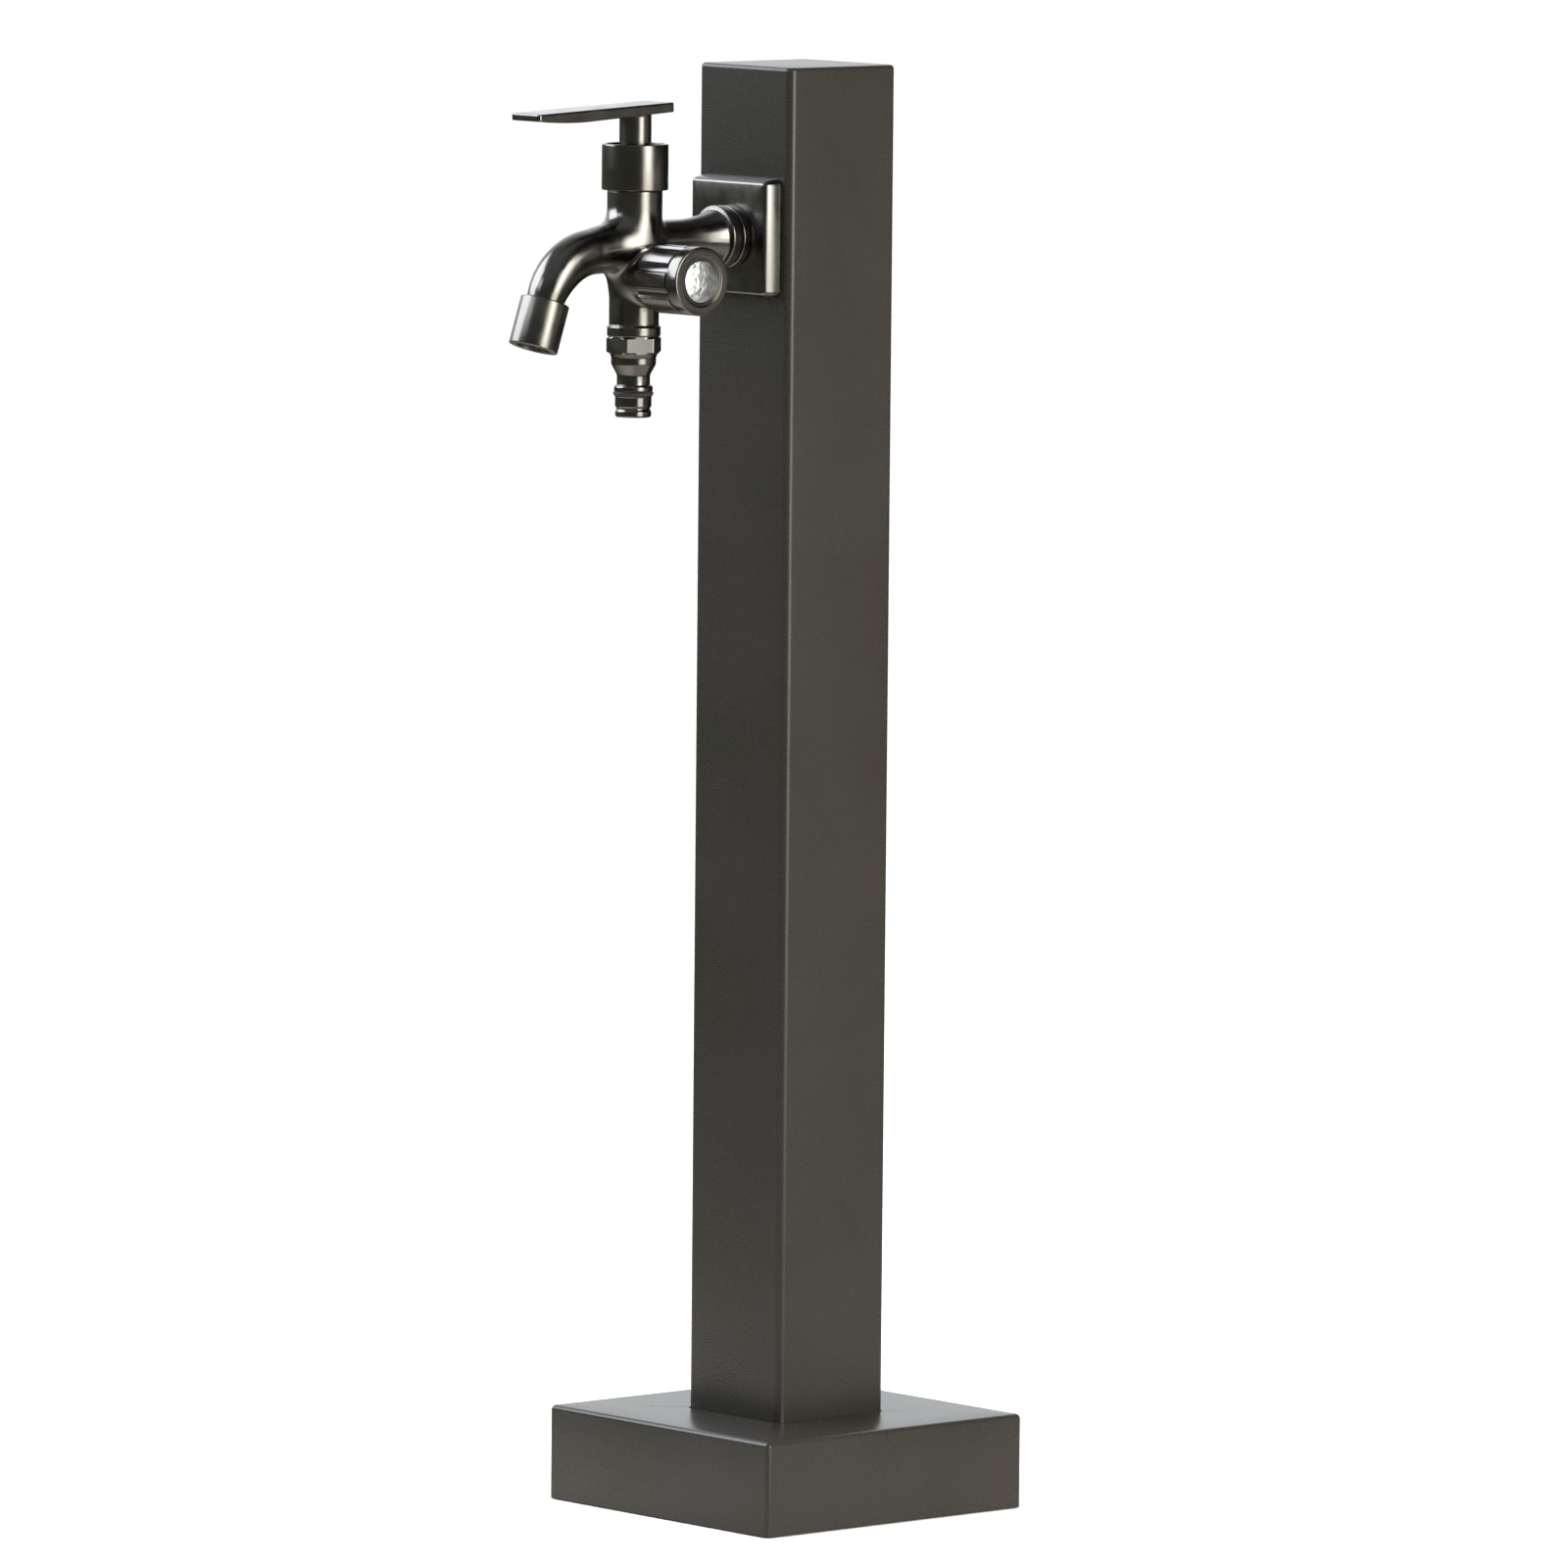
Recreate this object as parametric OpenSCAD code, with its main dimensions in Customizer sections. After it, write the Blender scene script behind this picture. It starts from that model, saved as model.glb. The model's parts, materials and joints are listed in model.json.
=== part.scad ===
// Garden standpipe: a square steel post on a covered ground plate, with a two-way tap.
// Millimetres. The origin is on the ground under the middle of the post, +Z is up and
// the tap stands out of the post's front face, towards -Y. The side valve points to +X.

/* [Post] */
// Height of the post with its cap
post_h = 721; // [500:1:1100]
// Width of the square post
post_w = 70; // [64:1:90]
// Wall of the post
post_wall = 1.5; // [1:0.1:3]
// Outer corner radius of the post
post_corner = 2.5; // [1:0.1:6]
// Thickness of the cap
cap_t = 2; // [1:0.1:5]
// Depth of the cap's skirt inside the post
cap_skirt = 10; // [4:0.5:20]

/* [Base] */
// Width of the square base cover
cover_w = 168; // [160:1:260]
// Height of the base cover
cover_h = 47; // [30:1:90]
// Sheet of the base cover
cover_wall = 1.5; // [1.2:0.1:3]
// Rounding of the cover's folded edges
cover_edge = 1; // [0.4:0.1:1.1]
// Thickness of the ground plate under the cover
ground_t = 6; // [4:0.5:12]
// Corner radius of the ground plate
ground_corner = 8; // [2:0.5:20]
// Distance from the ground plate's edge to a bolt
bolt_inset = 20; // [14:0.5:24]
// Diameter of a ground bolt's hole
bolt_hole_d = 11; // [6:0.5:14]
// Diameter of the supply pipe's entry in the ground plate
entry_d = 50; // [40:1:60]

/* [Pipework inside the post] */
// Outer diameter of the riser pipe
riser_d = 18; // [15:0.5:20]
// Wall of the riser pipe
riser_wall = 1; // [0.7:0.1:2]
// Height of the supply socket's mouth above the ground
socket_z = 12; // [8:1:60]
// Depth of the supply socket's thread
socket_thread_l = 15; // [10:0.5:22]
// Radius of the thread's wall in the supply socket
socket_bore_r = 9.3; // [9:0.1:10.5]
// Distance from the outlet elbow's face to the riser's axis
elbow_l = 21; // [18:0.5:26]
// Places of the pipe clips, as shares of the post's height
clip_height_shares = [0.25, 0.6];

/* [Wall plate] */
// Width and height of the wall plate behind the tap
plate_w = 59; // [46:1:62]
// Depth of the wall plate
plate_depth = 10; // [7:0.5:14]
// Sheet of the wall plate
plate_wall = 1.2; // [0.8:0.1:1.8]
// Corner radius of the wall plate
plate_corner = 3.6; // [3.2:0.1:8]
// How far the wall plate's sides lean in from the post to its front
plate_edge = 3; // [1:0.1:3]

/* [Tap body] */
// Distance from the post's top to the tap's inlet axis
tap_drop = 84.5; // [50:0.5:200]
// Distance from the post's face to the tap's upright axis
stem_reach = 70.2; // [62:0.1:90]
// Diameter of the neck under the bonnet
neck_d = 27.2; // [25:0.1:32]
// Height of the neck's top above the inlet axis
neck_rise = 25; // [22:0.1:35]
// Diameter of the body above the hose outlet
foot_d = 24.6; // [23:0.1:30]
// Distance from the inlet axis down to the end of the body
foot_drop = 42; // [38:0.1:60]
// Diameter of the collar at the inlet
collar_d = 31.4; // [26:0.1:36]
// Length of the collar at the inlet
collar_l = 6; // [4:0.1:10]
// Diameter of the inlet arm where it meets the body
arm_d = 19.2; // [17:0.1:24]
// Distance from the inlet axis down to the side valve's axis
side_drop = 17.5; // [16:0.1:24]
// Distance from the upright axis to the side valve boss's end
side_reach = 18.7; // [16:0.1:26]
// Diameter of the side valve's boss
side_boss_d = 26.4; // [24:0.1:30]

/* [Spout] */
// Radius of the spout's bend
bend_r = 34; // [28:0.5:50]
// Distance from the upright axis to the middle of the bend
bend_out = 24.6; // [20:0.1:40]
// Height of the bend's middle above the inlet axis, negative when below
bend_rise = -38.5; // [-52:0.5:-30]
// Slope of the spout where the bend starts, in degrees
dip = 8; // [2:1:20]
// Slope of the spout where the bend ends, in degrees
spout_slope = 71.7; // [50:0.1:90]
// Diameter of the spout at its root, where the bend starts and at its mouth
spout_root_d = 26.8; // [24:0.1:30]
spout_start_d = 22.4; // [20:0.1:25]
spout_end_d = 18.4; // [17:0.1:19]
// Diameter of the water way in the spout
spout_bore_d = 12; // [8:0.1:13]
// Diameter of the nozzle
nozzle_d = 24.4; // [22:0.1:30]
// Length of the nozzle
nozzle_l = 24.2; // [20:0.1:34]

/* [Bonnet and lever] */
// Diameter of the bonnet
bonnet_d = 32.8; // [30:0.1:38]
// Height of the bonnet
bonnet_h = 22.7; // [22:0.1:34]
// Depth of the recess in the bonnet's top, round the lever's boss
bonnet_recess = 1.8; // [0.6:0.1:2.2]
// Diameter of the lever's boss
boss_d = 15.8; // [13:0.1:16.4]
// Height of the paddle's top above the bonnet, at the upright axis
lever_rise = 19.6; // [15:0.1:30]
// Length of the paddle
lever_l = 87; // [60:1:120]
// Length of the paddle behind the upright axis
lever_back = 16.2; // [10:0.1:30]
// Width of the paddle
lever_w = 21.6; // [17:0.1:28]
// Thickness of the paddle at its back, at its thickest and at its tip
lever_back_t = 4.8; // [3:0.1:6]
lever_mid_t = 5.8; // [3:0.1:8]
lever_tip_t = 3.4; // [2:0.1:6]
// Slope of the paddle down to its tip, in degrees
lever_slope = 2.6; // [0:0.1:12]

/* [Side knob] */
// Diameter of the knob
knob_d = 34; // [32:0.1:42]
// Length of the knob
knob_l = 32.1; // [32:0.1:40]
// Number of flutes round the knob
flutes = 8; // [5:1:12]
// Depth of a flute
flute_depth = 1.7; // [0.8:0.1:2.2]
// Diameter of the knob's bright insert
insert_d = 21; // [16:0.1:26]

/* [Hose outlet] */
// Diameter of the ring at the end of the body
ring_d = 26.4; // [25:0.1:32]
// Height of the ring at the end of the body
ring_h = 5; // [2:0.1:8]
// Width of the hose nipple's hexagon across its flats
hex_w = 24.2; // [23:0.1:30]
// Height of the hose nipple's hexagon
hex_h = 8.6; // [7:0.1:14]
// Diameter of the nipple's head, which a hose coupling slides over
head_d = 18; // [16:0.1:20]
// Length of the nipple's head
head_l = 15.6; // [14:0.1:24]
// Diameter of the nipple's narrow neck
nipple_neck_d = 16.4; // [14:0.1:17]
// Diameter of the water way in the nipple
nipple_bore_d = 10; // [6:0.1:11]

/* [Hidden] */

$fn = 64;

// Clearances and fits
over = 1;
slide_gap = 0.6;
skirt_gap = 0.3;
ground_gap = 7.5;
thread_fit = 0.12;
pipe_fit = 0.05;
spindle_fit = 0.06;
disc_gap = 0.3;
loose_gap = 0.4;
washer_fit = 0.2;

// Post and base, worked out from the driving sizes
column_h = post_h - cap_t - ground_t;
column_in = post_w - 2 * post_wall;
skirt_t = 1.5;
ground_w = cover_w - 2 * cover_wall - 2 * ground_gap;
bolt_pitch = ground_w - 2 * bolt_inset;
cap_edge = 0.6;
inlet_z = post_h - tap_drop;
face_y = -post_w / 2;
wall_in_y = face_y + post_wall;

// Wall plate's curved side
dish_steps = 12;

// Threads of the inlet line
thread_r = 10.4;
tail_bore_r = 7;
tail_ring_d = 31;
tail_ring_t = 2.2;
tail_neck_d = 25;
tail_neck_l = 0.9;
tail_grip = 12;
spigot_l = 9;
seal_t = 1.5;
elbow_wall = 3.2;
elbow_cup = 13;
elbow_bore_r = 7;
elbow_back = 0.8;
elbow_corner = 5;
elbow_face_y = wall_in_y + seal_t;
riser_y = elbow_face_y + elbow_l;
riser_r = riser_d / 2;
cup_wall = 2.3;
cup_r = riser_r + pipe_fit + cup_wall;
riser_top_z = inlet_z - elbow_l + elbow_cup;
elbow_foot_z = inlet_z - elbow_l;
socket_wall = 3.4;
socket_step = 1;
socket_cup = 13;
riser_foot_z = socket_z + socket_thread_l + socket_step;

// Pipe clips
clip_h = 14;
clip_t = 2;
clip_stud_r = 4;
clip_foot_r = 11;
clip_foot_t = 2.5;

// Valve cartridge, measured along its axis from the seat in the body
valve_depth = 19.5;
chamber_r = 9.7;
sleeve_r = 9.1;
sleeve_in_r = 8.1;
sleeve_foot = 1;
rubber_t = 2.5;
rubber_in_r = 6.7;
disc_t = 3;
disc_r = 7.8;
port_r = 2.2;
port_out = 4.2;
foot_t = 2.4;
roof_w = rubber_t + 2 * disc_t + foot_t + 2 * disc_gap;
valve_thread_l = 9;
flange_r = 12;
flange_t = 2.5;
valve_hex_w = 19;
valve_hex_t = 7;
guide_r = 6.8;
guide_l = 9.5;
spindle_r = 4;
clip_ring_r = 6.2;
clip_ring_t = 1;
window_w = 8;
window_h = 3.2;
seat_hole_r = 4.5;
hex_top_w = valve_depth + flange_t + valve_hex_t;
guide_top_w = hex_top_w + guide_l;
clip_w = guide_top_w + disc_gap;
clip_top_w = clip_w + clip_ring_t;

// Tap body
stem_y = face_y - stem_reach;
neck_top_z = inlet_z + neck_rise;
upper_seat_z = neck_top_z - valve_depth;
side_z = inlet_z - side_drop;
side_seat_x = side_reach - valve_depth;
foot_z = inlet_z - foot_drop;
tail_end_y = face_y - plate_depth - tail_ring_t - tail_neck_l;
collar_chamfer = 0.8;
arm_flare_l = 24;
arm_root_d = 27;
flare_steps = 8;
shoulder_low = 12;
shoulder_high = 1;
body_edge = 0.5;
way_r = 5;
way_drop = 1.2;
feed_out = 7;
feed_r = 3.8;
outlet_way_r = 6;
rise_way_r = 3.5;
rise_reach = 15;
outlet_thread_l = 7;
spigot_pocket_l = spigot_l + seal_t;

// Spout
bend_y = stem_y - bend_out;
bend_z = inlet_z + bend_rise;
spout_sides = 32;
spout_rings = 14;
root_rings = 5;
way_sides = 20;
way_rings = 9;
taper_power = 3;
bend_start_y = bend_y - bend_r * sin(dip);
bend_start_z = bend_z + bend_r * cos(dip);
spout_end_y = bend_y - bend_r * sin(spout_slope);
spout_end_z = bend_z + bend_r * cos(spout_slope);
spout_spigot_l = 9;

// Nozzle, measured along its axis from the spout's end
washer_t = 1.6;
nozzle_lip_r = 8.4;
nozzle_lip_t = 2.5;
nozzle_bore_r = spout_end_d / 2 + thread_fit;
nozzle_edge = 0.7;
aerator_hole_r = 1.1;
aerator_rib_t = 1.2;
aerator_rim_t = 1.4;

// Bonnet
bonnet_top_t = 2;
bonnet_rim = 1.8;
bonnet_edge = 0.8;
bonnet_hole_gap = 1.2;
boss_sink = 1.4;
lever_boss_foot_w = valve_depth + bonnet_h - boss_sink;

// Lever
lever_spindle_l = 50;
lever_peak_share = 0.63;
lever_arc_steps = 10;
lever_corner = 1.6;
lever_edge = 0.6;
grub_r = 2;
grub_l = 3.2;
grub_drop = 4.5;
grub_key_r = 1.1;
grub_key_depth = 1.6;
socket_over = 0.3;

// Knob, measured along the valve's axis from the seat
knob_gap = 0.7;
knob_spindle_l = 46;
knob_foot_w = valve_depth + knob_gap;
knob_top_w = knob_foot_w + knob_l;
knob_wall_r = flange_r + knob_gap;
knob_edge = 1.2;
knob_back_edge = 2;
knob_rim_l = 7.6;
knob_groove_l = 1.2;
knob_groove_depth = 1;
flute_r = 3.4;
face_step_r = 12.6;
face_step = 0.5;
insert_pocket = 3;
insert_dome = 1.2;
insert_gap = 0.15;
screw_web = 1.5;
screw_r = 2;
screw_head_r = 3.6;
screw_head_t = 1.3;
screw_slot_r = 2.6;
screw_slot_w = 0.7;
screw_grip = 8;

// Hose nipple, measured up and down from the body's end
ring_z = foot_z - ring_h;
hex_z = ring_z - hex_h;
nipple_step_r = 11.9;
nipple_step_h = 2;
nipple_waist_r = 11.1;
nipple_waist_h = 3.2;
nipple_taper_h = 5.4;
nipple_neck_h = 5.2;
head_ring_out = 0.4;
head_ring_h = 2.6;
groove_r = 7.4;
groove_h = 2.6;
head_chamfer = 0.9;
nipple_waist_z = hex_z - nipple_step_h;
nipple_taper_z = nipple_waist_z - nipple_waist_h;
nipple_neck_z = nipple_taper_z - nipple_taper_h;
head_z = nipple_neck_z - nipple_neck_h;
groove_z = head_z - head_ring_h;
plain_z = groove_z - groove_h;
mouth_z = head_z - head_l;

// Colours, as the photograph shows them
coat = [0.25, 0.245, 0.23];
gunmetal = [0.22, 0.215, 0.21];
raw_brass = [0.78, 0.62, 0.34];
steel = [0.68, 0.68, 0.67];
rubber_black = [0.08, 0.08, 0.08];
ceramic_white = [0.88, 0.87, 0.83];
grey_plastic = [0.55, 0.56, 0.57];
satin_chrome = [0.82, 0.83, 0.85];

// A square outline with round corners
module rounded_square(width, corner) {
    if (corner > 0) {
        square([width, width - 2 * corner], center = true);
        square([width - 2 * corner, width], center = true);
        for (sx = [-1, 1], sy = [-1, 1])
            translate([sx * (width / 2 - corner), sy * (width / 2 - corner)])
                circle(r = corner);
    } else {
        square(width, center = true);
    }
}

// A square slab whose top edge is broken by a small bevel
module bevelled_slab(width, height, corner, edge) {
    hull() {
        linear_extrude(height - edge)
            rounded_square(width, corner, $fn = 32);
        linear_extrude(height)
            rounded_square(width - 2 * edge, corner - edge / 2, $fn = 32);
    }
}

// A square dish with round corners, whose sides curve over to its front as an ellipse does
module dish_form(width, depth, corner, edge) {
    side = [
        for (i = [0 : dish_steps])
            let (turn = 90 * i / dish_steps)
            [corner - edge * (1 - cos(turn)), depth * sin(turn)]
    ];
    hull()
        for (sx = [-1, 1], sz = [-1, 1])
            translate([sx * (width / 2 - corner), 0, sz * (width / 2 - corner)])
                rotate([90, 0, 0])
                    rotate_extrude($fn = 32)
                        polygon(concat([[0, 0]], side, [[0, depth]]));
}

// A tube or ring along +Z
module ring(outer_r, inner_r, height) {
    difference() {
        cylinder(r = outer_r, h = height);
        translate([0, 0, -over])
            cylinder(r = inner_r, h = height + 2 * over);
    }
}

// A hexagonal bar along +Z, given by its width across the flats
module hex_bar(flats, height) {
    cylinder(r = flats / 2 / cos(30), h = height, $fn = 6);
}

// A hexagonal bar whose corners are turned to a cone at both ends
module hex_nut(flats, height) {
    corner_r = flats / 2 / cos(30);
    rim = (corner_r - flats / 2) * 0.9;
    intersection() {
        hex_bar(flats, height);
        rotate_extrude()
            polygon([
                [0, 0], [corner_r - rim, 0], [corner_r, rim * tan(30)],
                [corner_r, height - rim * tan(30)], [corner_r - rim, height], [0, height]
            ]);
    }
}

// A round bar between two places in the plane of the spout
module bar_between(from_y, from_z, to_y, to_z, radius) {
    run = norm([to_y - from_y, to_z - from_z]);
    translate([0, from_y, from_z])
        rotate([atan2(from_y - to_y, to_z - from_z), 0, 0])
            cylinder(r = radius, h = run);
}

// Places of the pieces: along the inlet line, on both valves and on the spout's end
module on_inlet(start_y) {
    translate([0, start_y, inlet_z])
        rotate([90, 0, 0])
            children();
}

module on_upper_valve(along = 0) {
    translate([0, stem_y, upper_seat_z + along])
        children();
}

module on_side_valve(along = 0) {
    translate([side_seat_x + along, stem_y, side_z])
        rotate([0, 90, 0])
            children();
}

module on_spout_end() {
    translate([0, spout_end_y, spout_end_z])
        rotate([90 + spout_slope, 0, 0])
            children();
}

// Ground plate, bolted to the ground through its four corners
module base_plate() {
    color(coat)
        difference() {
            linear_extrude(ground_t)
                rounded_square(ground_w, ground_corner);
            for (sx = [-1, 1], sy = [-1, 1])
                translate([sx * bolt_pitch / 2, sy * bolt_pitch / 2, -over])
                    cylinder(d = bolt_hole_d, h = ground_t + 2 * over);
            translate([0, 0, -over])
                cylinder(d = entry_d, h = ground_t + 2 * over);
        }
}

// Square tube welded on the ground plate, with a hole for the tap's tail
module column_tube() {
    color(coat)
        difference() {
            translate([0, 0, ground_t])
                linear_extrude(column_h)
                    difference() {
                        rounded_square(post_w, post_corner);
                        rounded_square(column_in, post_corner - post_wall);
                    }
            on_inlet(face_y + post_wall + over)
                cylinder(r = thread_r + slide_gap, h = post_wall + 2 * over);
        }
}

// Flush cap with a skirt that grips inside the post
module column_cap() {
    skirt_w = column_in - 2 * skirt_gap;
    color(coat)
        translate([0, 0, post_h - cap_t]) {
            bevelled_slab(post_w, cap_t, post_corner, cap_edge);
            translate([0, 0, -cap_skirt])
                linear_extrude(cap_skirt)
                    difference() {
                        rounded_square(skirt_w, post_corner - post_wall);
                        rounded_square(skirt_w - 2 * skirt_t, 0);
                    }
        }
}

// Folded cover that slides down the post and hides the ground bolts
module base_cover() {
    color(coat)
        difference() {
            bevelled_slab(cover_w, cover_h, cover_edge, cover_edge);
            translate([0, 0, -over])
                linear_extrude(cover_h - cover_wall + over)
                    square(cover_w - 2 * cover_wall, center = true);
            translate([0, 0, -over])
                linear_extrude(cover_h + 2 * over)
                    rounded_square(post_w + 2 * slide_gap, post_corner + slide_gap);
        }
}

// One clip: a ring round the riser on a stud from the post's rear wall
module pipe_clip() {
    wall_y = -wall_in_y;
    difference() {
        union() {
            cylinder(r = riser_r + pipe_fit + clip_t, h = clip_h, center = true);
            rotate([-90, 0, 0])
                cylinder(r = clip_stud_r, h = wall_y - riser_y);
            translate([0, wall_y - riser_y - clip_foot_t, 0])
                rotate([-90, 0, 0])
                    cylinder(r = clip_foot_r, h = clip_foot_t);
        }
        cylinder(r = riser_r + pipe_fit, h = clip_h + 2 * over, center = true);
    }
}

module pipe_clips() {
    color(grey_plastic)
        for (share = clip_height_shares)
            translate([0, riser_y, share * post_h])
                pipe_clip();
}

// Pipe from the supply socket up to the outlet elbow
module riser_pipe() {
    color(steel)
        translate([0, riser_y, riser_foot_z])
            ring(riser_r, riser_r - riser_wall, riser_top_z - riser_foot_z);
}

// Brass socket that the supply is screwed into from below
module supply_socket() {
    total = socket_thread_l + socket_step + socket_cup;
    color(raw_brass)
        translate([0, riser_y, socket_z])
            difference() {
                union() {
                    hex_nut(2 * (socket_bore_r + socket_wall), socket_thread_l);
                    cylinder(r = cup_r, h = total);
                }
                translate([0, 0, -over])
                    cylinder(r = socket_bore_r, h = socket_thread_l + over);
                cylinder(r = riser_r - riser_wall, h = total);
                translate([0, 0, socket_thread_l + socket_step])
                    cylinder(r = riser_r + pipe_fit, h = socket_cup + over);
            }
}

// Brass elbow that turns the riser to the front and takes the tap's tail
module outlet_elbow() {
    outer_r = thread_r + elbow_wall;
    back_l = cup_r + elbow_back;
    color(raw_brass)
        difference() {
            union() {
                on_inlet(riser_y)
                    rotate_extrude()
                        polygon([
                            [0, -back_l], [outer_r - elbow_corner, -back_l],
                            [outer_r, elbow_corner - back_l], [outer_r, elbow_l], [0, elbow_l]
                        ]);
                translate([0, riser_y, elbow_foot_z])
                    cylinder(r = cup_r, h = elbow_l);
            }
            on_inlet(elbow_face_y + tail_grip + loose_gap)
                cylinder(r = thread_r + thread_fit, h = tail_grip + loose_gap + over);
            on_inlet(riser_y)
                cylinder(r = elbow_bore_r, h = elbow_l);
            translate([0, riser_y, elbow_foot_z])
                cylinder(r = riser_r - riser_wall, h = elbow_l + riser_r);
            translate([0, riser_y, elbow_foot_z - over])
                cylinder(r = riser_r + pipe_fit, h = elbow_cup + over);
        }
}

// Fibre washer between the elbow and the post's front wall
module elbow_seal() {
    color(rubber_black)
        on_inlet(elbow_face_y)
            ring(thread_r + elbow_wall, thread_r + thread_fit, seal_t);
}

// Dished square plate that covers the hole behind the tap
module wall_plate() {
    inner_w = plate_w - 2 * plate_wall;
    color(gunmetal)
        difference() {
            translate([0, face_y, inlet_z])
                dish_form(plate_w, plate_depth, plate_corner, plate_edge);
            translate([0, face_y + over, inlet_z])
                dish_form(inner_w, plate_depth - plate_wall + over,
                    plate_corner - plate_wall / 2, plate_edge - plate_wall / 2);
            on_inlet(face_y)
                cylinder(r = thread_r + slide_gap, h = plate_depth + over);
        }
}

// Threaded tail with the ring that clamps the wall plate against the post
module inlet_tail() {
    inner_l = plate_depth - face_y + elbow_face_y + tail_grip;
    ring_edge = tail_ring_t / 4;
    color(gunmetal)
        on_inlet(face_y - plate_depth)
            difference() {
                union() {
                    translate([0, 0, -inner_l])
                        cylinder(r = thread_r, h = inner_l);
                    rotate_extrude()
                        polygon([
                            [0, 0], [tail_ring_d / 2, 0],
                            [tail_ring_d / 2, tail_ring_t - ring_edge],
                            [tail_ring_d / 2 - ring_edge, tail_ring_t],
                            [tail_neck_d / 2, tail_ring_t],
                            [tail_neck_d / 2, tail_ring_t + tail_neck_l],
                            [thread_r, tail_ring_t + tail_neck_l],
                            [thread_r, tail_ring_t + tail_neck_l + spigot_l],
                            [0, tail_ring_t + tail_neck_l + spigot_l]
                        ]);
                }
                translate([0, 0, -inner_l - over])
                    cylinder(r = tail_bore_r,
                        h = inner_l + tail_ring_t + tail_neck_l + spigot_l + 2 * over);
            }
}

// Flat washer at the bottom of the tap's inlet
module inlet_seal() {
    color(rubber_black)
        on_inlet(tail_end_y - spigot_l)
            ring(thread_r - washer_fit, tail_bore_r, seal_t);
}

// Inlet arm, turned along the inlet axis: collar, flare and straight arm
module arm_form() {
    flare_l = collar_l + arm_flare_l;
    rotate_extrude()
        polygon(concat(
            [
                [0, 0], [collar_d / 2 - collar_chamfer, 0], [collar_d / 2, collar_chamfer],
                [collar_d / 2, collar_l - collar_chamfer],
                [collar_d / 2 - collar_chamfer, collar_l]
            ],
            [
                for (i = [0 : flare_steps])
                    let (t = i / flare_steps)
                    [(arm_d + (arm_root_d - arm_d) * pow(1 - t, 2)) / 2,
                        collar_l + arm_flare_l * t]
            ],
            [
                [arm_d / 2, max(flare_l, tail_end_y - stem_y)],
                [0, max(flare_l, tail_end_y - stem_y)]
            ]
        ));
}

// Upright core of the body, turned about the upright axis
module core_form() {
    low = side_z - shoulder_low - foot_z;
    high = side_z + shoulder_high - foot_z;
    top = neck_top_z - foot_z;
    rotate_extrude()
        polygon([
            [0, 0], [foot_d / 2, 0], [foot_d / 2, low], [neck_d / 2, high],
            [neck_d / 2, top - body_edge], [neck_d / 2 - body_edge, top], [0, top]
        ]);
}

// Ring and thread under the body, for the hose nipple
module foot_form() {
    rotate_extrude()
        polygon([
            [0, -ring_h - outlet_thread_l], [thread_r, -ring_h - outlet_thread_l],
            [thread_r, -ring_h], [ring_d / 2 - body_edge, -ring_h],
            [ring_d / 2, body_edge - ring_h], [ring_d / 2, -body_edge],
            [ring_d / 2 - body_edge, 0], [0, 0]
        ]);
}

// Diameter of the spout along its bend, from 0 at the start to 1 at the mouth
function bend_d(t) = spout_end_d + (spout_start_d - spout_end_d) * (1 - pow(t, taper_power));

// One station of the bend: place, slope and radius, t running from 0 at its start to 1
function bend_station(t, radius) =
    let (slope = dip + (spout_slope - dip) * t)
    [bend_y - bend_r * sin(slope), bend_z + bend_r * cos(slope), slope, radius];

// A station past the spout's end, along its mouth's axis
function end_station(along, radius) = [
    spout_end_y - along * cos(spout_slope), spout_end_z - along * sin(spout_slope),
    spout_slope, radius
];

// A station before the bend, on the straight root of the spout
function root_station(back, radius) = [
    bend_start_y + back * cos(dip), bend_start_z + back * sin(dip), dip, radius
];

// A loft through round sections across the plane of the spout
module loft(stations, sides) {
    count = len(stations);
    points = [
        for (s = stations)
            for (k = [0 : sides - 1])
                let (a = 360 * k / sides)
                [s[3] * cos(a), s[0] - s[3] * sin(a) * sin(s[2]), s[1] + s[3] * sin(a) * cos(s[2])]
    ];
    skin = [
        for (i = [0 : count - 2])
            for (k = [0 : sides - 1])
                let (n = (k + 1) % sides, a = i * sides, b = a + sides)
                each [[a + k, b + k, b + n], [a + k, b + n, a + n]]
    ];
    first = [for (k = [0 : sides - 1]) k];
    last = [for (k = [sides - 1 : -1 : 0]) (count - 1) * sides + k];
    polyhedron(points = points, faces = concat(skin, [first, last]));
}

// Spout: it tapers from its wide root, round the bend and into the nozzle's thread
module spout_form() {
    root_l = (stem_y - bend_start_y) / cos(dip);
    loft(concat(
        [
            for (i = [0 : root_rings - 1])
                let (t = i / root_rings)
                root_station(root_l * (1 - t),
                    (spout_root_d + (spout_start_d - spout_root_d) * t) / 2)
        ],
        [
            for (i = [0 : spout_rings])
                bend_station(i / spout_rings, bend_d(i / spout_rings) / 2)
        ],
        [end_station(spout_spigot_l, spout_end_d / 2)]
    ), spout_sides);
}

// Water way through the spout
module spout_way() {
    loft(concat(
        [root_station(spout_bore_d, spout_bore_d / 2)],
        [for (i = [0 : way_rings]) bend_station(i / way_rings, spout_bore_d / 2)],
        [end_station(spout_spigot_l + over, spout_bore_d / 2)]
    ), way_sides);
}

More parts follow.
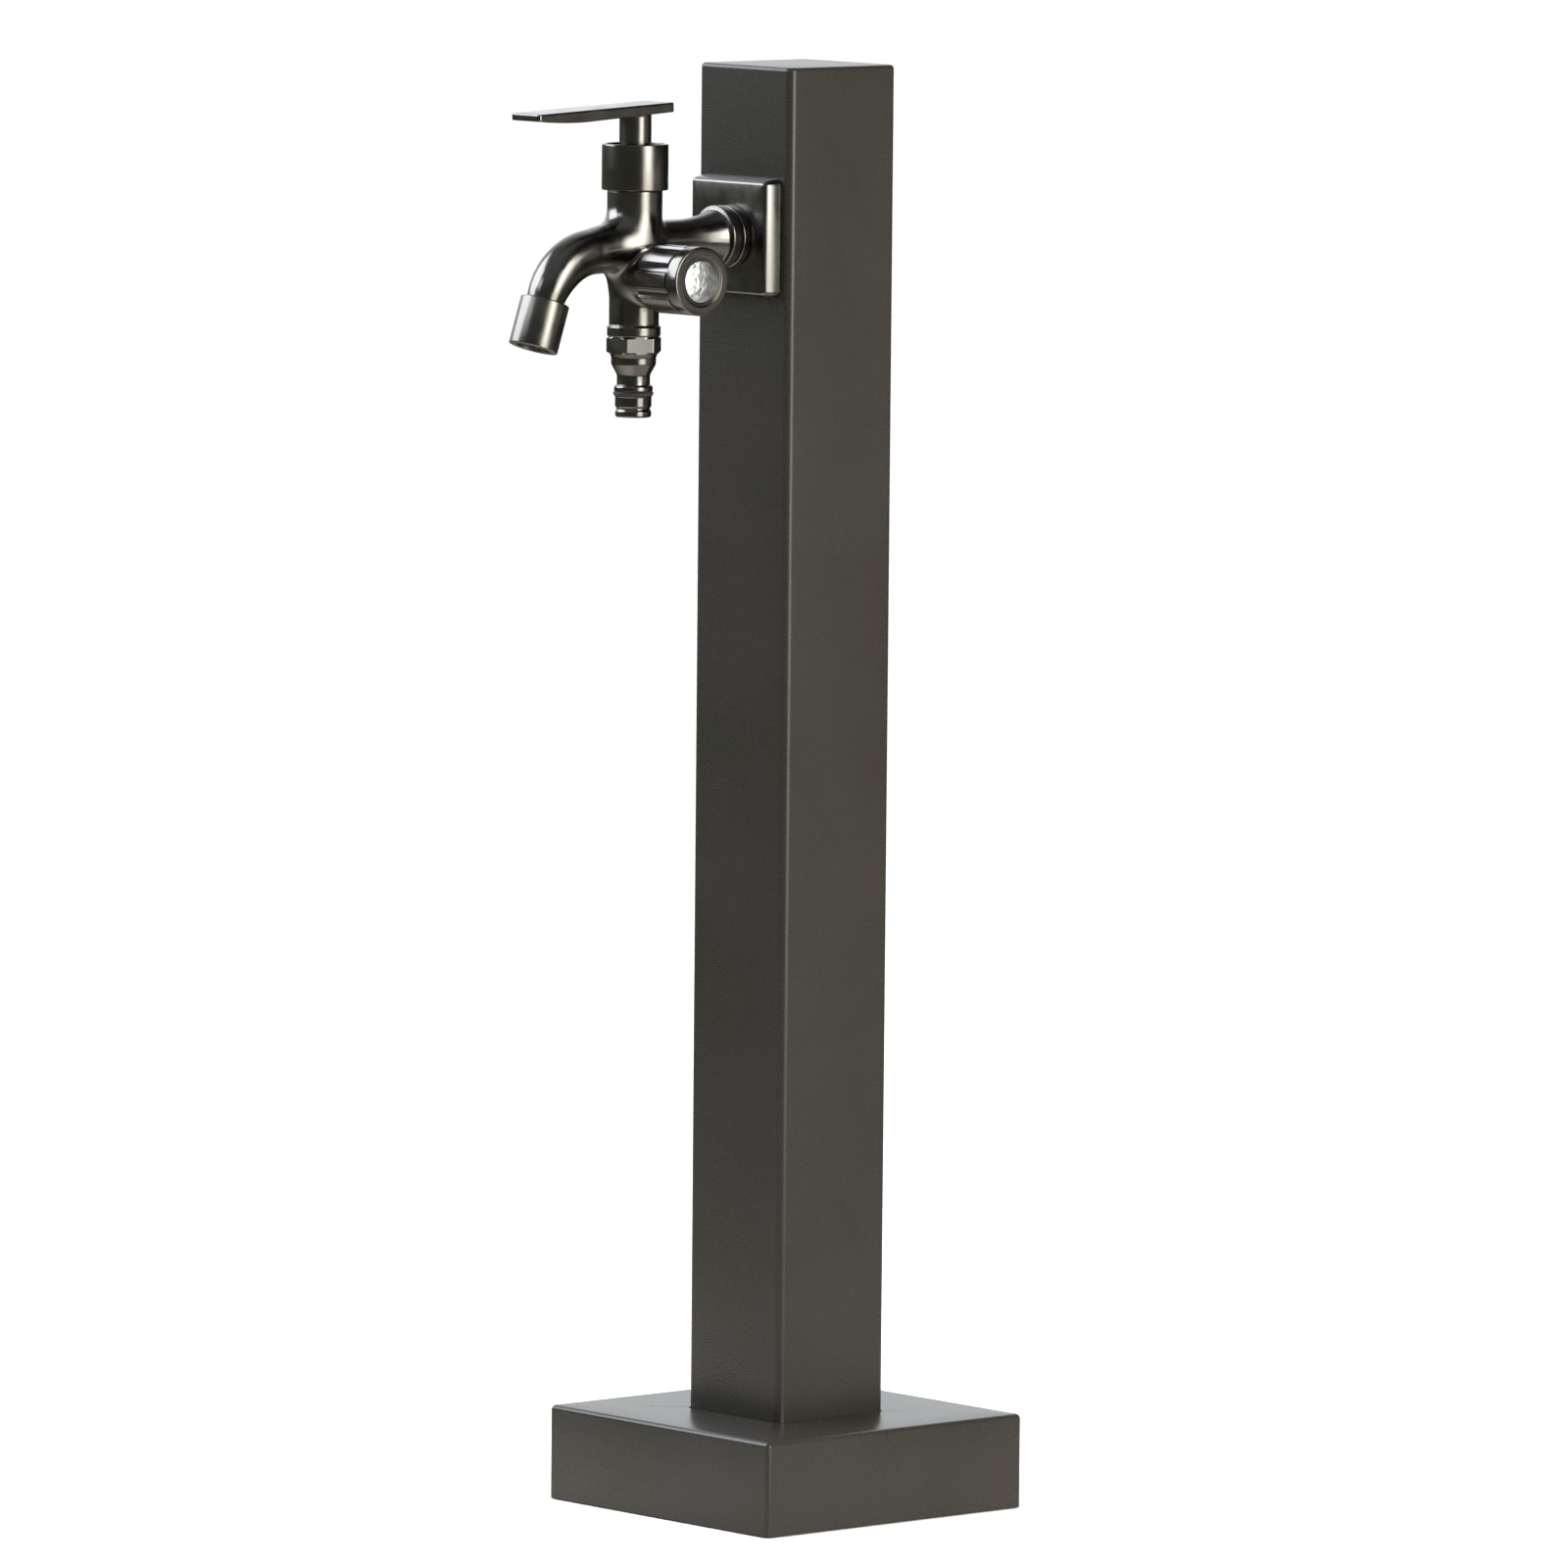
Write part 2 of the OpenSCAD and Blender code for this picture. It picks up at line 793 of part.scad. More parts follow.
// Water ways in the body, cut from the cast form
module water_ways() {
    way_z = inlet_z - way_drop;
    // Pocket for the tail and its seal, then the way to the middle of the body
    on_inlet(tail_end_y + over)
        cylinder(r = thread_r + thread_fit, h = spigot_pocket_l + over);
    translate([0, tail_end_y, way_z])
        rotate([90, 0, 0])
            cylinder(r = way_r, h = tail_end_y - stem_y + way_r);
    // Seat of the upper valve and its chamber
    translate([0, stem_y, way_z])
        cylinder(r = seat_hole_r, h = upper_seat_z - way_z + over);
    on_upper_valve()
        cylinder(r = chamber_r, h = valve_depth + over);
    // Way down to the side valve's seat, and its chamber
    translate([-feed_out, stem_y, side_z])
        cylinder(r = feed_r, h = way_z - side_z);
    translate([-feed_out, stem_y, side_z])
        rotate([0, 90, 0])
            cylinder(r = feed_r, h = feed_out + side_seat_x + over);
    on_side_valve()
        cylinder(r = chamber_r, h = valve_depth + over);
    // Outlet to the hose nipple
    translate([0, stem_y, ring_z - outlet_thread_l - over])
        cylinder(r = outlet_way_r, h = side_z - chamber_r - ring_z + outlet_thread_l + 2 * over);
    // Way from the upper chamber into the spout, and round its bend
    bar_between(bend_start_y + spout_bore_d / 2, bend_start_z,
        bend_start_y + spout_bore_d / 2 + rise_reach, bend_start_z + rise_reach, rise_way_r);
    spout_way();
}

// Cast body of the two-way tap
module tap_body() {
    color(gunmetal)
        difference() {
            union() {
                on_inlet(tail_end_y)
                    arm_form();
                translate([0, stem_y, foot_z]) {
                    core_form();
                    foot_form();
                }
                translate([0, stem_y, side_z])
                    rotate([0, 90, 0])
                        cylinder(d = side_boss_d, h = side_reach);
                spout_form();
            }
            water_ways();
        }
}

// Valve pieces, each measured along the valve's axis from the seat
module cartridge_form() {
    difference() {
        union() {
            translate([0, 0, sleeve_foot])
                cylinder(r = sleeve_r, h = valve_depth - sleeve_foot);
            translate([0, 0, valve_depth - valve_thread_l])
                cylinder(r = chamber_r - thread_fit, h = valve_thread_l);
            translate([0, 0, valve_depth])
                cylinder(r = flange_r, h = flange_t);
            translate([0, 0, valve_depth + flange_t])
                hex_nut(valve_hex_w, valve_hex_t);
            translate([0, 0, hex_top_w])
                cylinder(r = guide_r, h = guide_l);
        }
        cylinder(r = sleeve_in_r, h = roof_w);
        cylinder(r = spindle_r + spindle_fit, h = guide_top_w + over);
        translate([0, 0, rubber_t + disc_t + window_h / 2])
            cube([2 * sleeve_r + 2 * over, window_w, window_h], center = true);
    }
}

module valve_seal_form() {
    ring(sleeve_in_r - thread_fit, rubber_in_r, rubber_t);
}

module valve_disc_form(radius) {
    difference() {
        cylinder(r = radius, h = disc_t);
        for (side = [-1, 1])
            translate([0, side * port_out, -over])
                cylinder(r = port_r, h = disc_t + 2 * over);
    }
}

module spindle_form(length) {
    foot_w = rubber_t + 2 * disc_t + disc_gap;
    translate([0, 0, foot_w])
        cylinder(r = disc_r - disc_gap, h = foot_t);
    translate([0, 0, foot_w])
        cylinder(r = spindle_r, h = length - foot_w);
}

module spindle_clip_form() {
    ring(clip_ring_r, spindle_r + pipe_fit, clip_ring_t);
}

module upper_cartridge() {
    color(raw_brass)
        on_upper_valve()
            cartridge_form();
}

module upper_seal() {
    color(rubber_black)
        on_upper_valve()
            valve_seal_form();
}

module upper_fixed_disc() {
    color(ceramic_white)
        on_upper_valve(rubber_t)
            valve_disc_form(disc_r);
}

module upper_turning_disc() {
    color(ceramic_white)
        on_upper_valve(rubber_t + disc_t + disc_gap)
            valve_disc_form(disc_r - disc_gap);
}

module upper_spindle() {
    color(raw_brass)
        on_upper_valve()
            spindle_form(lever_spindle_l);
}

module upper_clip() {
    color(steel)
        on_upper_valve(clip_w)
            spindle_clip_form();
}

module side_cartridge() {
    color(raw_brass)
        on_side_valve()
            cartridge_form();
}

module side_seal() {
    color(rubber_black)
        on_side_valve()
            valve_seal_form();
}

module side_fixed_disc() {
    color(ceramic_white)
        on_side_valve(rubber_t)
            valve_disc_form(disc_r);
}

module side_turning_disc() {
    color(ceramic_white)
        on_side_valve(rubber_t + disc_t + disc_gap)
            valve_disc_form(disc_r - disc_gap);
}

// Spindle of the side valve, tapped at its end for the knob's screw
module side_spindle() {
    color(raw_brass)
        on_side_valve()
            difference() {
                spindle_form(knob_spindle_l);
                translate([0, 0, knob_spindle_l - screw_grip])
                    cylinder(r = screw_r + pipe_fit, h = screw_grip + over);
            }
}

module side_clip() {
    color(steel)
        on_side_valve(clip_w)
            spindle_clip_form();
}

// Turned bonnet over the upper cartridge
module bonnet() {
    bore_r = flange_r + disc_gap;
    floor_h = bonnet_h - bonnet_recess;
    color(gunmetal)
        translate([0, stem_y, neck_top_z])
            rotate_extrude()
                polygon([
                    [bore_r, 0], [bonnet_d / 2 - bonnet_edge / 2, 0],
                    [bonnet_d / 2, bonnet_edge / 2], [bonnet_d / 2, bonnet_h - bonnet_edge],
                    [bonnet_d / 2 - bonnet_edge, bonnet_h],
                    [bonnet_d / 2 - bonnet_rim, bonnet_h],
                    [bonnet_d / 2 - bonnet_rim, floor_h],
                    [boss_d / 2 + bonnet_hole_gap, floor_h],
                    [boss_d / 2 + bonnet_hole_gap, floor_h - bonnet_top_t],
                    [bore_r, floor_h - bonnet_top_t]
                ]);
}

// Side outline of the paddle: flat top, straight back, belly that thins to the tip
module paddle_side() {
    front_l = lever_l - lever_back;
    peak = lever_l * lever_peak_share - lever_back;
    polygon(concat(
        [[lever_back, -lever_edge], [lever_back - lever_edge, 0], [lever_edge - front_l, 0],
            [-front_l, -lever_edge]],
        [
            for (i = [0 : lever_arc_steps])
                let (t = 1 - i / lever_arc_steps)
                [-peak - (front_l - peak) * t, -lever_mid_t + (lever_mid_t - lever_tip_t) * t * t]
        ],
        [[lever_back, -lever_back_t]]
    ));
}

// Plan outline of the paddle, with small round corners
module paddle_plan() {
    long = lever_l - 2 * lever_corner;
    wide = lever_w - 2 * lever_corner;
    translate([0, lever_back - lever_l / 2]) {
        square([lever_w, long], center = true);
        square([wide, lever_l], center = true);
        for (sx = [-1, 1], sy = [-1, 1])
            translate([sx * wide / 2, sy * long / 2])
                circle(r = lever_corner);
    }
}

// Lever: a flat paddle on a round boss, fixed on the spindle by a grub screw
module lever_handle() {
    top_w = valve_depth + bonnet_h + lever_rise;
    hub_top_w = top_w - lever_back_t / 2;
    grub_w = lever_spindle_l - grub_drop;
    color(gunmetal)
        on_upper_valve()
            difference() {
                union() {
                    translate([0, 0, top_w])
                        rotate([lever_slope, 0, 0])
                            intersection() {
                                translate([-lever_w / 2, 0, 0])
                                    rotate([90, 0, 90])
                                        linear_extrude(lever_w)
                                            paddle_side();
                                translate([0, 0, -2 * lever_mid_t])
                                    linear_extrude(4 * lever_mid_t)
                                        paddle_plan();
                            }
                    translate([0, 0, lever_boss_foot_w])
                        cylinder(d = boss_d, h = hub_top_w - lever_boss_foot_w);
                }
                translate([0, 0, lever_boss_foot_w - over])
                    cylinder(r = spindle_r + pipe_fit,
                        h = lever_spindle_l + socket_over - lever_boss_foot_w + over);
                translate([0, 0, grub_w])
                    rotate([-90, 0, 0])
                        cylinder(r = grub_r + thread_fit, h = boss_d / 2 + over);
            }
}

module lever_screw() {
    color(steel)
        on_upper_valve(lever_spindle_l - grub_drop)
            rotate([-90, 0, 0])
                translate([0, 0, spindle_r + pipe_fit])
                    difference() {
                        cylinder(r = grub_r, h = grub_l);
                        translate([0, 0, grub_l - grub_key_depth])
                            cylinder(r = grub_key_r, h = grub_key_depth + over, $fn = 6);
                    }
}

// Outline of the knob, turned about the side valve's axis
module knob_form() {
    r = knob_d / 2;
    groove_w = knob_l - knob_rim_l - knob_groove_l;
    rotate_extrude()
        polygon([
            [0, 0], [r - knob_back_edge, 0], [r - knob_back_edge * 0.3, knob_back_edge * 0.3],
            [r, knob_back_edge], [r, groove_w],
            [r - knob_groove_depth, groove_w], [r - knob_groove_depth, groove_w + knob_groove_l],
            [r, groove_w + knob_groove_l], [r, knob_l - knob_edge],
            [r - knob_edge * 0.3, knob_l - knob_edge * 0.3], [r - knob_edge, knob_l],
            [face_step_r, knob_l], [face_step_r - face_step, knob_l - face_step],
            [0, knob_l - face_step]
        ]);
}

// Fluted knob of the side valve
module side_knob() {
    flute_l = knob_l - knob_rim_l - knob_groove_l / 2;
    web_w = knob_spindle_l + socket_over;
    color(gunmetal)
        on_side_valve(knob_foot_w)
            difference() {
                knob_form();
                for (i = [0 : flutes - 1])
                    rotate([0, 0, 360 * (i + 0.5) / flutes])
                        translate([knob_d / 2 + flute_r - flute_depth, 0, -over])
                            cylinder(r = flute_r, h = flute_l + over);
                translate([0, 0, -over])
                    cylinder(r = knob_wall_r, h = hex_top_w + loose_gap - knob_foot_w + over);
                cylinder(r = guide_r + knob_gap, h = clip_top_w + loose_gap - knob_foot_w);
                cylinder(r = spindle_r + pipe_fit, h = web_w - knob_foot_w);
                cylinder(r = screw_r + pipe_fit, h = knob_l);
                translate([0, 0, web_w + screw_web - knob_foot_w])
                    cylinder(r = screw_head_r + knob_gap, h = knob_l);
                translate([0, 0, knob_l - insert_pocket])
                    cylinder(d = insert_d, h = insert_pocket + over);
            }
}

// Screw that holds the knob on its spindle
module knob_screw() {
    head_w = knob_spindle_l + socket_over + screw_web;
    shank_w = knob_spindle_l - screw_grip + disc_gap;
    color(steel)
        on_side_valve()
            difference() {
                union() {
                    translate([0, 0, shank_w])
                        cylinder(r = screw_r, h = head_w - shank_w);
                    translate([0, 0, head_w])
                        cylinder(r = screw_head_r, h = screw_head_t);
                }
                translate([0, 0, head_w + screw_head_t])
                    cube([2 * screw_slot_r, screw_slot_w, screw_head_t], center = true);
            }
}

// Bright domed insert in the knob's face
module knob_insert() {
    pad_t = insert_pocket - face_step - insert_gap;
    rim_r = insert_d / 2 - insert_gap;
    dome_r = (rim_r * rim_r + insert_dome * insert_dome) / (2 * insert_dome);
    color(satin_chrome)
        on_side_valve(knob_top_w - insert_pocket + insert_gap)
            intersection() {
                cylinder(r = rim_r, h = pad_t + insert_dome);
                translate([0, 0, pad_t + insert_dome - dome_r])
                    sphere(r = dome_r, $fn = 128);
            }
}

// Nozzle screwed on the spout, with the lip that holds the aerator
module spout_nozzle() {
    r = nozzle_d / 2;
    color(gunmetal)
        on_spout_end()
            rotate_extrude()
                polygon([
                    [nozzle_bore_r, 0], [r - nozzle_edge, 0], [r, nozzle_edge],
                    [r, nozzle_l - nozzle_edge / 2], [r - nozzle_edge / 2, nozzle_l],
                    [nozzle_lip_r, nozzle_l], [nozzle_lip_r, nozzle_l - nozzle_lip_t],
                    [nozzle_bore_r, nozzle_l - nozzle_lip_t]
                ]);
}

module nozzle_washer() {
    color(rubber_black)
        on_spout_end()
            translate([0, 0, spout_spigot_l])
                ring(nozzle_bore_r - thread_fit, spout_bore_d / 2, washer_t);
}

// Insert that evens out the water, with a ring of holes in its lower face
module aerator_insert() {
    start = spout_spigot_l + washer_t;
    length = nozzle_l - nozzle_lip_t - start;
    rows = 3;
    color(grey_plastic)
        on_spout_end()
            translate([0, 0, start])
                difference() {
                    cylinder(r = nozzle_bore_r - thread_fit, h = length);
                    translate([0, 0, -over])
                        cylinder(r = nozzle_bore_r - thread_fit - aerator_rim_t,
                            h = length - aerator_rib_t + over);
                    for (row = [1 : rows], k = [0 : 6 * row - 1])
                        rotate([0, 0, 360 * k / (6 * row)])
                            translate([row * nozzle_lip_r / (rows + 1), 0, 0])
                                cylinder(r = aerator_hole_r * 0.7, h = length + over);
                }
}

// Flat washer between the body's thread and the hose nipple
module outlet_washer() {
    color(rubber_black)
        translate([0, stem_y, ring_z - outlet_thread_l - washer_t])
            ring(thread_r - washer_fit, nipple_bore_d / 2, washer_t);
}

// Hose nipple: hexagon, shoulder, neck and grooved head, turned from one bar
module hose_nipple() {
    thread_pocket_z = ring_z - outlet_thread_l - washer_t;
    color(gunmetal)
        translate([0, stem_y, 0])
            difference() {
                union() {
                    translate([0, 0, hex_z])
                        hex_nut(hex_w, hex_h);
                    rotate_extrude()
                        polygon([
                            [0, hex_z], [nipple_step_r, hex_z],
                            [nipple_waist_r, nipple_waist_z], [nipple_waist_r, nipple_taper_z],
                            [nipple_neck_d / 2, nipple_neck_z], [nipple_neck_d / 2, head_z],
                            [head_d / 2 + head_ring_out, head_z],
                            [head_d / 2 + head_ring_out, groove_z],
                            [groove_r, groove_z], [groove_r, plain_z],
                            [head_d / 2, plain_z], [head_d / 2, mouth_z + head_chamfer],
                            [head_d / 2 - head_chamfer, mouth_z], [0, mouth_z]
                        ]);
                }
                translate([0, 0, thread_pocket_z])
                    cylinder(r = thread_r + thread_fit,
                        h = washer_t + outlet_thread_l + over);
                translate([0, 0, mouth_z - over])
                    cylinder(d = nipple_bore_d, h = hex_z + hex_h - mouth_z + over);
            }
}

// Rubber ring in the groove of the nipple's head
module nipple_ring() {
    cord_r = groove_h / 2 - pipe_fit;
    color(rubber_black)
        translate([0, stem_y, plain_z + groove_h / 2])
            rotate_extrude()
                translate([groove_r + cord_r + pipe_fit, 0])
                    circle(r = cord_r, $fn = 24);
}

base_plate();
column_tube();
column_cap();
base_cover();
pipe_clips();
riser_pipe();
supply_socket();
outlet_elbow();
elbow_seal();
wall_plate();
inlet_tail();
inlet_seal();
tap_body();
bonnet();
upper_cartridge();
upper_seal();
upper_fixed_disc();
upper_turning_disc();
upper_spindle();
upper_clip();
lever_handle();
lever_screw();
side_cartridge();
side_seal();
side_fixed_disc();
side_turning_disc();
side_spindle();
side_clip();
side_knob();
knob_screw();
knob_insert();
spout_nozzle();
nozzle_washer();
aerator_insert();
outlet_washer();
hose_nipple();
nipple_ring();
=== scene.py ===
# %% [markdown]
# # A garden standpipe, dressed for its portrait
# The CAD model holds the true shapes and places of the thirty-seven parts. This lesson
# gives the parts that show a finer skin: soft blends in the casting, eased edges on turned
# metal and folded steel, and finishes that answer to light as the real ones do.
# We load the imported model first. Shapes are written in millimetres, as on a drawing, and
# `MM` brings them into the frame's metres. Light and textures are in metres throughout.

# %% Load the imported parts
import json
import math

import bmesh
import bpy
import numpy as np
from mathutils import Matrix, Vector


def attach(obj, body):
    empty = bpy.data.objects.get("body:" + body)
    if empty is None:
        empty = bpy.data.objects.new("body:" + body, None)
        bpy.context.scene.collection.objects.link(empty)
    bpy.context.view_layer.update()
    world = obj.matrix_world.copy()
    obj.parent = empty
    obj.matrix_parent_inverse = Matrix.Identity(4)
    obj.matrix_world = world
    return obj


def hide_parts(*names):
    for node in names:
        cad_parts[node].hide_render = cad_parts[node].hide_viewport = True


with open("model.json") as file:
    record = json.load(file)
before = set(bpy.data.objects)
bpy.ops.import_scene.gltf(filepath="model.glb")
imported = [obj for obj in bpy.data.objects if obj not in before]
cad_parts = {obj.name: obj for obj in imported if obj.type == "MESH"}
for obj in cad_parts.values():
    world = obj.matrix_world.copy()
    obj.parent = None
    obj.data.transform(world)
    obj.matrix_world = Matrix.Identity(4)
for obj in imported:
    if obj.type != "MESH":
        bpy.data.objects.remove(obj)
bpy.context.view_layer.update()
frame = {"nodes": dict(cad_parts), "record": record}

MM = 0.001
nodes = frame["nodes"]

# %% [markdown]
# ## The places that the parts share
# A tap is laid out from a few axes: the inlet line through the post's front wall, the
# upright axis of the body, the side valve's axis, and the arc that the spout follows. The
# numbers below repeat the model's own, in millimetres, so that each skin sits on its part.

# %% Axes of the post and the tap
POST_TOP = 721.0
POST_HALF = 35.0
FACE_Y = -POST_HALF
PLATE_FRONT_Y = -45.0
INLET_Z = 636.5
STEM_Y = -105.2
NECK_TOP_Z = 661.5
UPPER_SEAT_Z = 642.0
SIDE_Z = 619.0
SIDE_SEAT_X = -0.8
FOOT_Z = 594.5
RING_Z = 589.5
TAIL_END_Y = -48.1
BEND_Y, BEND_Z, BEND_R = -129.8, 598.0, 34.0
DIP, SPOUT_SLOPE = math.radians(8.0), math.radians(71.7)


def on_bend(slope):
    """The point (y, z) of the spout's centre line where it has this slope."""
    return np.array([BEND_Y - BEND_R * math.sin(slope), BEND_Z + BEND_R * math.cos(slope)])


BEND_START, SPOUT_END = on_bend(DIP), on_bend(SPOUT_SLOPE)
ROOT_L = (STEM_Y - BEND_START[0]) / math.cos(DIP)
print("spout ends at", np.round(SPOUT_END, 1), "mm")

# %% [markdown]
# ## Helpers for objects, colours and nodes
# Paint and plating are named in the sRGB scale that a colour picker shows, but a
# shader wants linear light, so one function turns a hex value. `add` puts in a node, sets
# its properties and fills or links its inputs. A few short forms of it, for ramps, ranges,
# directions, noise and bumps, let every finish below read like a recipe.

# %% Object, colour and node helpers
def new_object(name, data):
    made = bpy.data.objects.new(name, data)
    bpy.context.scene.collection.objects.link(made)
    return made


def linear(hex_colour):
    channels = [int(hex_colour[i:i + 2], 16) / 255 for i in (1, 3, 5)]
    return tuple(c / 12.92 if c <= 0.04045 else ((c + 0.055) / 1.055) ** 2.4
                 for c in channels) + (1.0,)


def add(tree, kind, inputs=None, **settings):
    node = tree.nodes.new(kind)
    for name, value in settings.items():
        setattr(node, name, value)
    for key, value in (inputs or {}).items():
        if isinstance(value, bpy.types.NodeSocket):
            tree.links.new(value, node.inputs[key])
        else:
            node.inputs[key].default_value = value
    return node


def ramp(tree, value, *stops):
    """Turns a value into a colour, by stops of (position, hex colour)."""
    node = add(tree, "ShaderNodeValToRGB", {"Fac": value})
    elements = node.color_ramp.elements
    for k, (position, colour) in enumerate((stops[0], stops[-1])):
        elements[k].position, elements[k].color = position, linear(colour)
    for position, colour in stops[1:-1]:
        elements.new(position).color = linear(colour)
    return node.outputs["Color"]


def remap(tree, value, low, high, new_low=0.0, new_high=1.0):
    return add(tree, "ShaderNodeMapRange", {
        "Value": value, "From Min": low, "From Max": high, "To Min": new_low,
        "To Max": new_high}).outputs["Result"]


def dot(tree, vector, towards):
    return add(tree, "ShaderNodeVectorMath", {0: vector, 1: towards},
               operation="DOT_PRODUCT").outputs["Value"]


def noise(tree, at, scale, detail):
    return add(tree, "ShaderNodeTexNoise", {
        "Vector": at, "Scale": scale, "Detail": detail}).outputs["Fac"]


def bump(tree, height, strength, distance, **onto):
    return add(tree, "ShaderNodeBump", {
        "Height": height, "Strength": strength, "Distance": distance, **onto}).outputs[0]


print("helpers ready")

# %% [markdown]
# ## The camera
# The photograph was taken from far off with a long lens, a little above the post, so its
# upright edges stay nearly parallel. The camera stands 7 m away, between the tap's side and
# the side valve's, and looks down by not quite six degrees. Its axes and place are what a
# fit to the photograph's corners gave.

# %% Place the camera
camera_data = bpy.data.cameras.new("portrait")
camera_data.sensor_width = 36.0
camera_data.lens = 321.1
camera_data.clip_end = 200.0
camera = new_object("portrait", camera_data)
right = Vector((0.65324006, 0.757097, 0.00903071))
up = Vector((-0.08107111, 0.05808134, 0.99501459))
toward = Vector((-0.75279804, 0.65071552, -0.09931975))
turn = Matrix((right, up, -toward)).transposed().to_4x4()
camera.matrix_world = Matrix.Translation((5.24838, -4.54148, 1.054375)) @ turn
bpy.context.scene.camera = camera
print("camera", round(camera.location.length, 2), "m from the post's foot")

# %% [markdown]
# ## What all finishes share
# A finish starts with its own material and the object's coordinates, and ends in one
# surface. No real surface is even: in most finishes one pattern moves both the tone and the
# shine a little, because where a coat lies thicker it is usually duller too. The powder
# coat has a pattern for each.

# %% Start, vary and end a finish
finishes = {}


def start_finish(name):
    finish = bpy.data.materials.new(name)
    finish.use_nodes = True
    finish.node_tree.nodes.clear()
    place = add(finish.node_tree, "ShaderNodeTexCoord")
    return finish, finish.node_tree, place.outputs["Object"]


def varied(tree, pattern, low, high, smooth, dull):
    """Tone and roughness that follow one pattern."""
    return {"Base Color": ramp(tree, pattern, (0.3, low), (0.7, high)),
            "Roughness": remap(tree, pattern, 0.3, 0.7, smooth, dull)}


def end_finish(tree, inputs, kind="ShaderNodeBsdfPrincipled"):
    surface = add(tree, kind, inputs)
    add(tree, "ShaderNodeOutputMaterial", {"Surface": surface.outputs[0]})


print("finishes can start")

# %% [markdown]
# ## Powder coat on steel
# The post, its cap, the cover and the ground plate are mild steel, dusted with polyester
# powder and baked. Polyester has an index near 1.5. Baking leaves two things that the eye
# reads: an orange-peel swell about 2 mm across, and a tooth of under a millimetre that
# breaks up the shine. Both are shallow here, a good smooth coat. The colour drifts a little
# between olive and warm grey over a hand's width.

# %% Powder coat
powder, tree, at = start_finish("satin_powder_coat_on_steel")
tooth = noise(tree, at, scale=1400.0, detail=2.0)
drift = noise(tree, at, scale=11.0, detail=3.0)
peel = bump(tree, noise(tree, at, scale=420.0, detail=1.0), strength=0.03, distance=0.0004)
end_finish(tree, {
    "Base Color": ramp(tree, drift, (0.35, "#282620"), (0.68, "#2d2a27")),
    "Roughness": remap(tree, tooth, 0.3, 0.7, 0.24, 0.34), "IOR": 1.5,
    "Normal": bump(tree, tooth, strength=0.015, distance=0.0002, Normal=peel)})
finishes["coated_steel"] = powder
print(powder.name)

# %% [markdown]
# ## Gunmetal plating on cast brass
# The tap's brass is polished on a wheel, then plated a dark grey. Plating is thin and
# follows the polish, so the shine is crisp, with faint wheel marks round the piece and a
# soft cloud where the buffing was uneven. It is a metal: metallic is one, and the colour
# itself is the mirror's tint. The nozzle, which hands and hoses touch, is brushed a little
# more satin than the rest.

# %% Gunmetal plating
def plating(name, low, high, smooth, dull):
    finish, tree, at = start_finish(name)
    cloud = noise(tree, at, scale=90.0, detail=3.0)
    marks = noise(tree, at, scale=2200.0, detail=2.0)
    end_finish(tree, {
        **varied(tree, cloud, low, high, smooth, dull), "Metallic": 1.0,
        "Normal": bump(tree, marks, strength=0.05, distance=0.0001)})
    return finish


finishes["gunmetal"] = plating("gunmetal_plating_on_brass", "#73716e", "#7c7975", 0.17, 0.27)
satin_gunmetal = plating("satin_gunmetal_plating_on_brass", "#716e6b", "#7d7a75", 0.22, 0.31)
print(finishes["gunmetal"].name, satin_gunmetal.name)

# %% [markdown]
# ## Plain brass, steel and chrome
# Inside the post and the valves the brass is left as the lathe made it, and the riser and
# the clips are stainless steel. Both show rings of turning marks that a stretched noise
# imitates. The insert in the knob is satin chrome on a pressed disc: its surface waves a
# little, so it gathers light from a wide angle and stays pale.

# %% Plain metals
def plain_metal(name, low, high, smooth, dull, along, depth=0.000006):
    finish, tree, at = start_finish(name)
    stretch = add(tree, "ShaderNodeMapping", {"Vector": at, "Scale": along}).outputs[0]
    lines = noise(tree, stretch, scale=600.0, detail=3.0)
    end_finish(tree, {
        **varied(tree, lines, low, high, smooth, dull), "Metallic": 1.0,
        "Normal": bump(tree, lines, strength=1.0, distance=depth)})
    return finish


finishes["raw_brass"] = plain_metal("machined_brass", "#b8954f", "#d0ae66", 0.25, 0.38,
                                    (0.3, 0.3, 3.0))
finishes["steel"] = plain_metal("drawn_stainless_steel", "#a3a3a1", "#bdbdba", 0.24, 0.36,
                                (3.0, 3.0, 0.2))
finishes["chrome"] = plain_metal("satin_chrome", "#d8dde2", "#f4f6f8", 0.27, 0.37,
                                 (0.5, 0.5, 0.5), depth=0.0005)
print("brass, steel and chrome")

# %% [markdown]
# ## Plastic, rubber and ceramic
# The pipe clips and the aerator are grey acetal, index 1.48, from a blasted mould, so they
# are matt, with a spark grain a fifth of a millimetre across. Seals are black nitrile
# rubber, index 1.52, dusty and matt. The valve discs are sintered alumina, index 1.77,
# lapped flat: white, with a very fine speckle and a soft gloss.

# %% Moulded and lapped finishes
def moulded(name, low, high, smooth, dull, grain_scale, grain_depth, index):
    finish, tree, at = start_finish(name)
    flow = noise(tree, at, scale=60.0, detail=2.0)
    spark = noise(tree, at, scale=grain_scale, detail=2.0)
    end_finish(tree, {
        **varied(tree, flow, low, high, smooth, dull), "IOR": index,
        "Normal": bump(tree, spark, strength=0.12, distance=grain_depth)})
    return finish


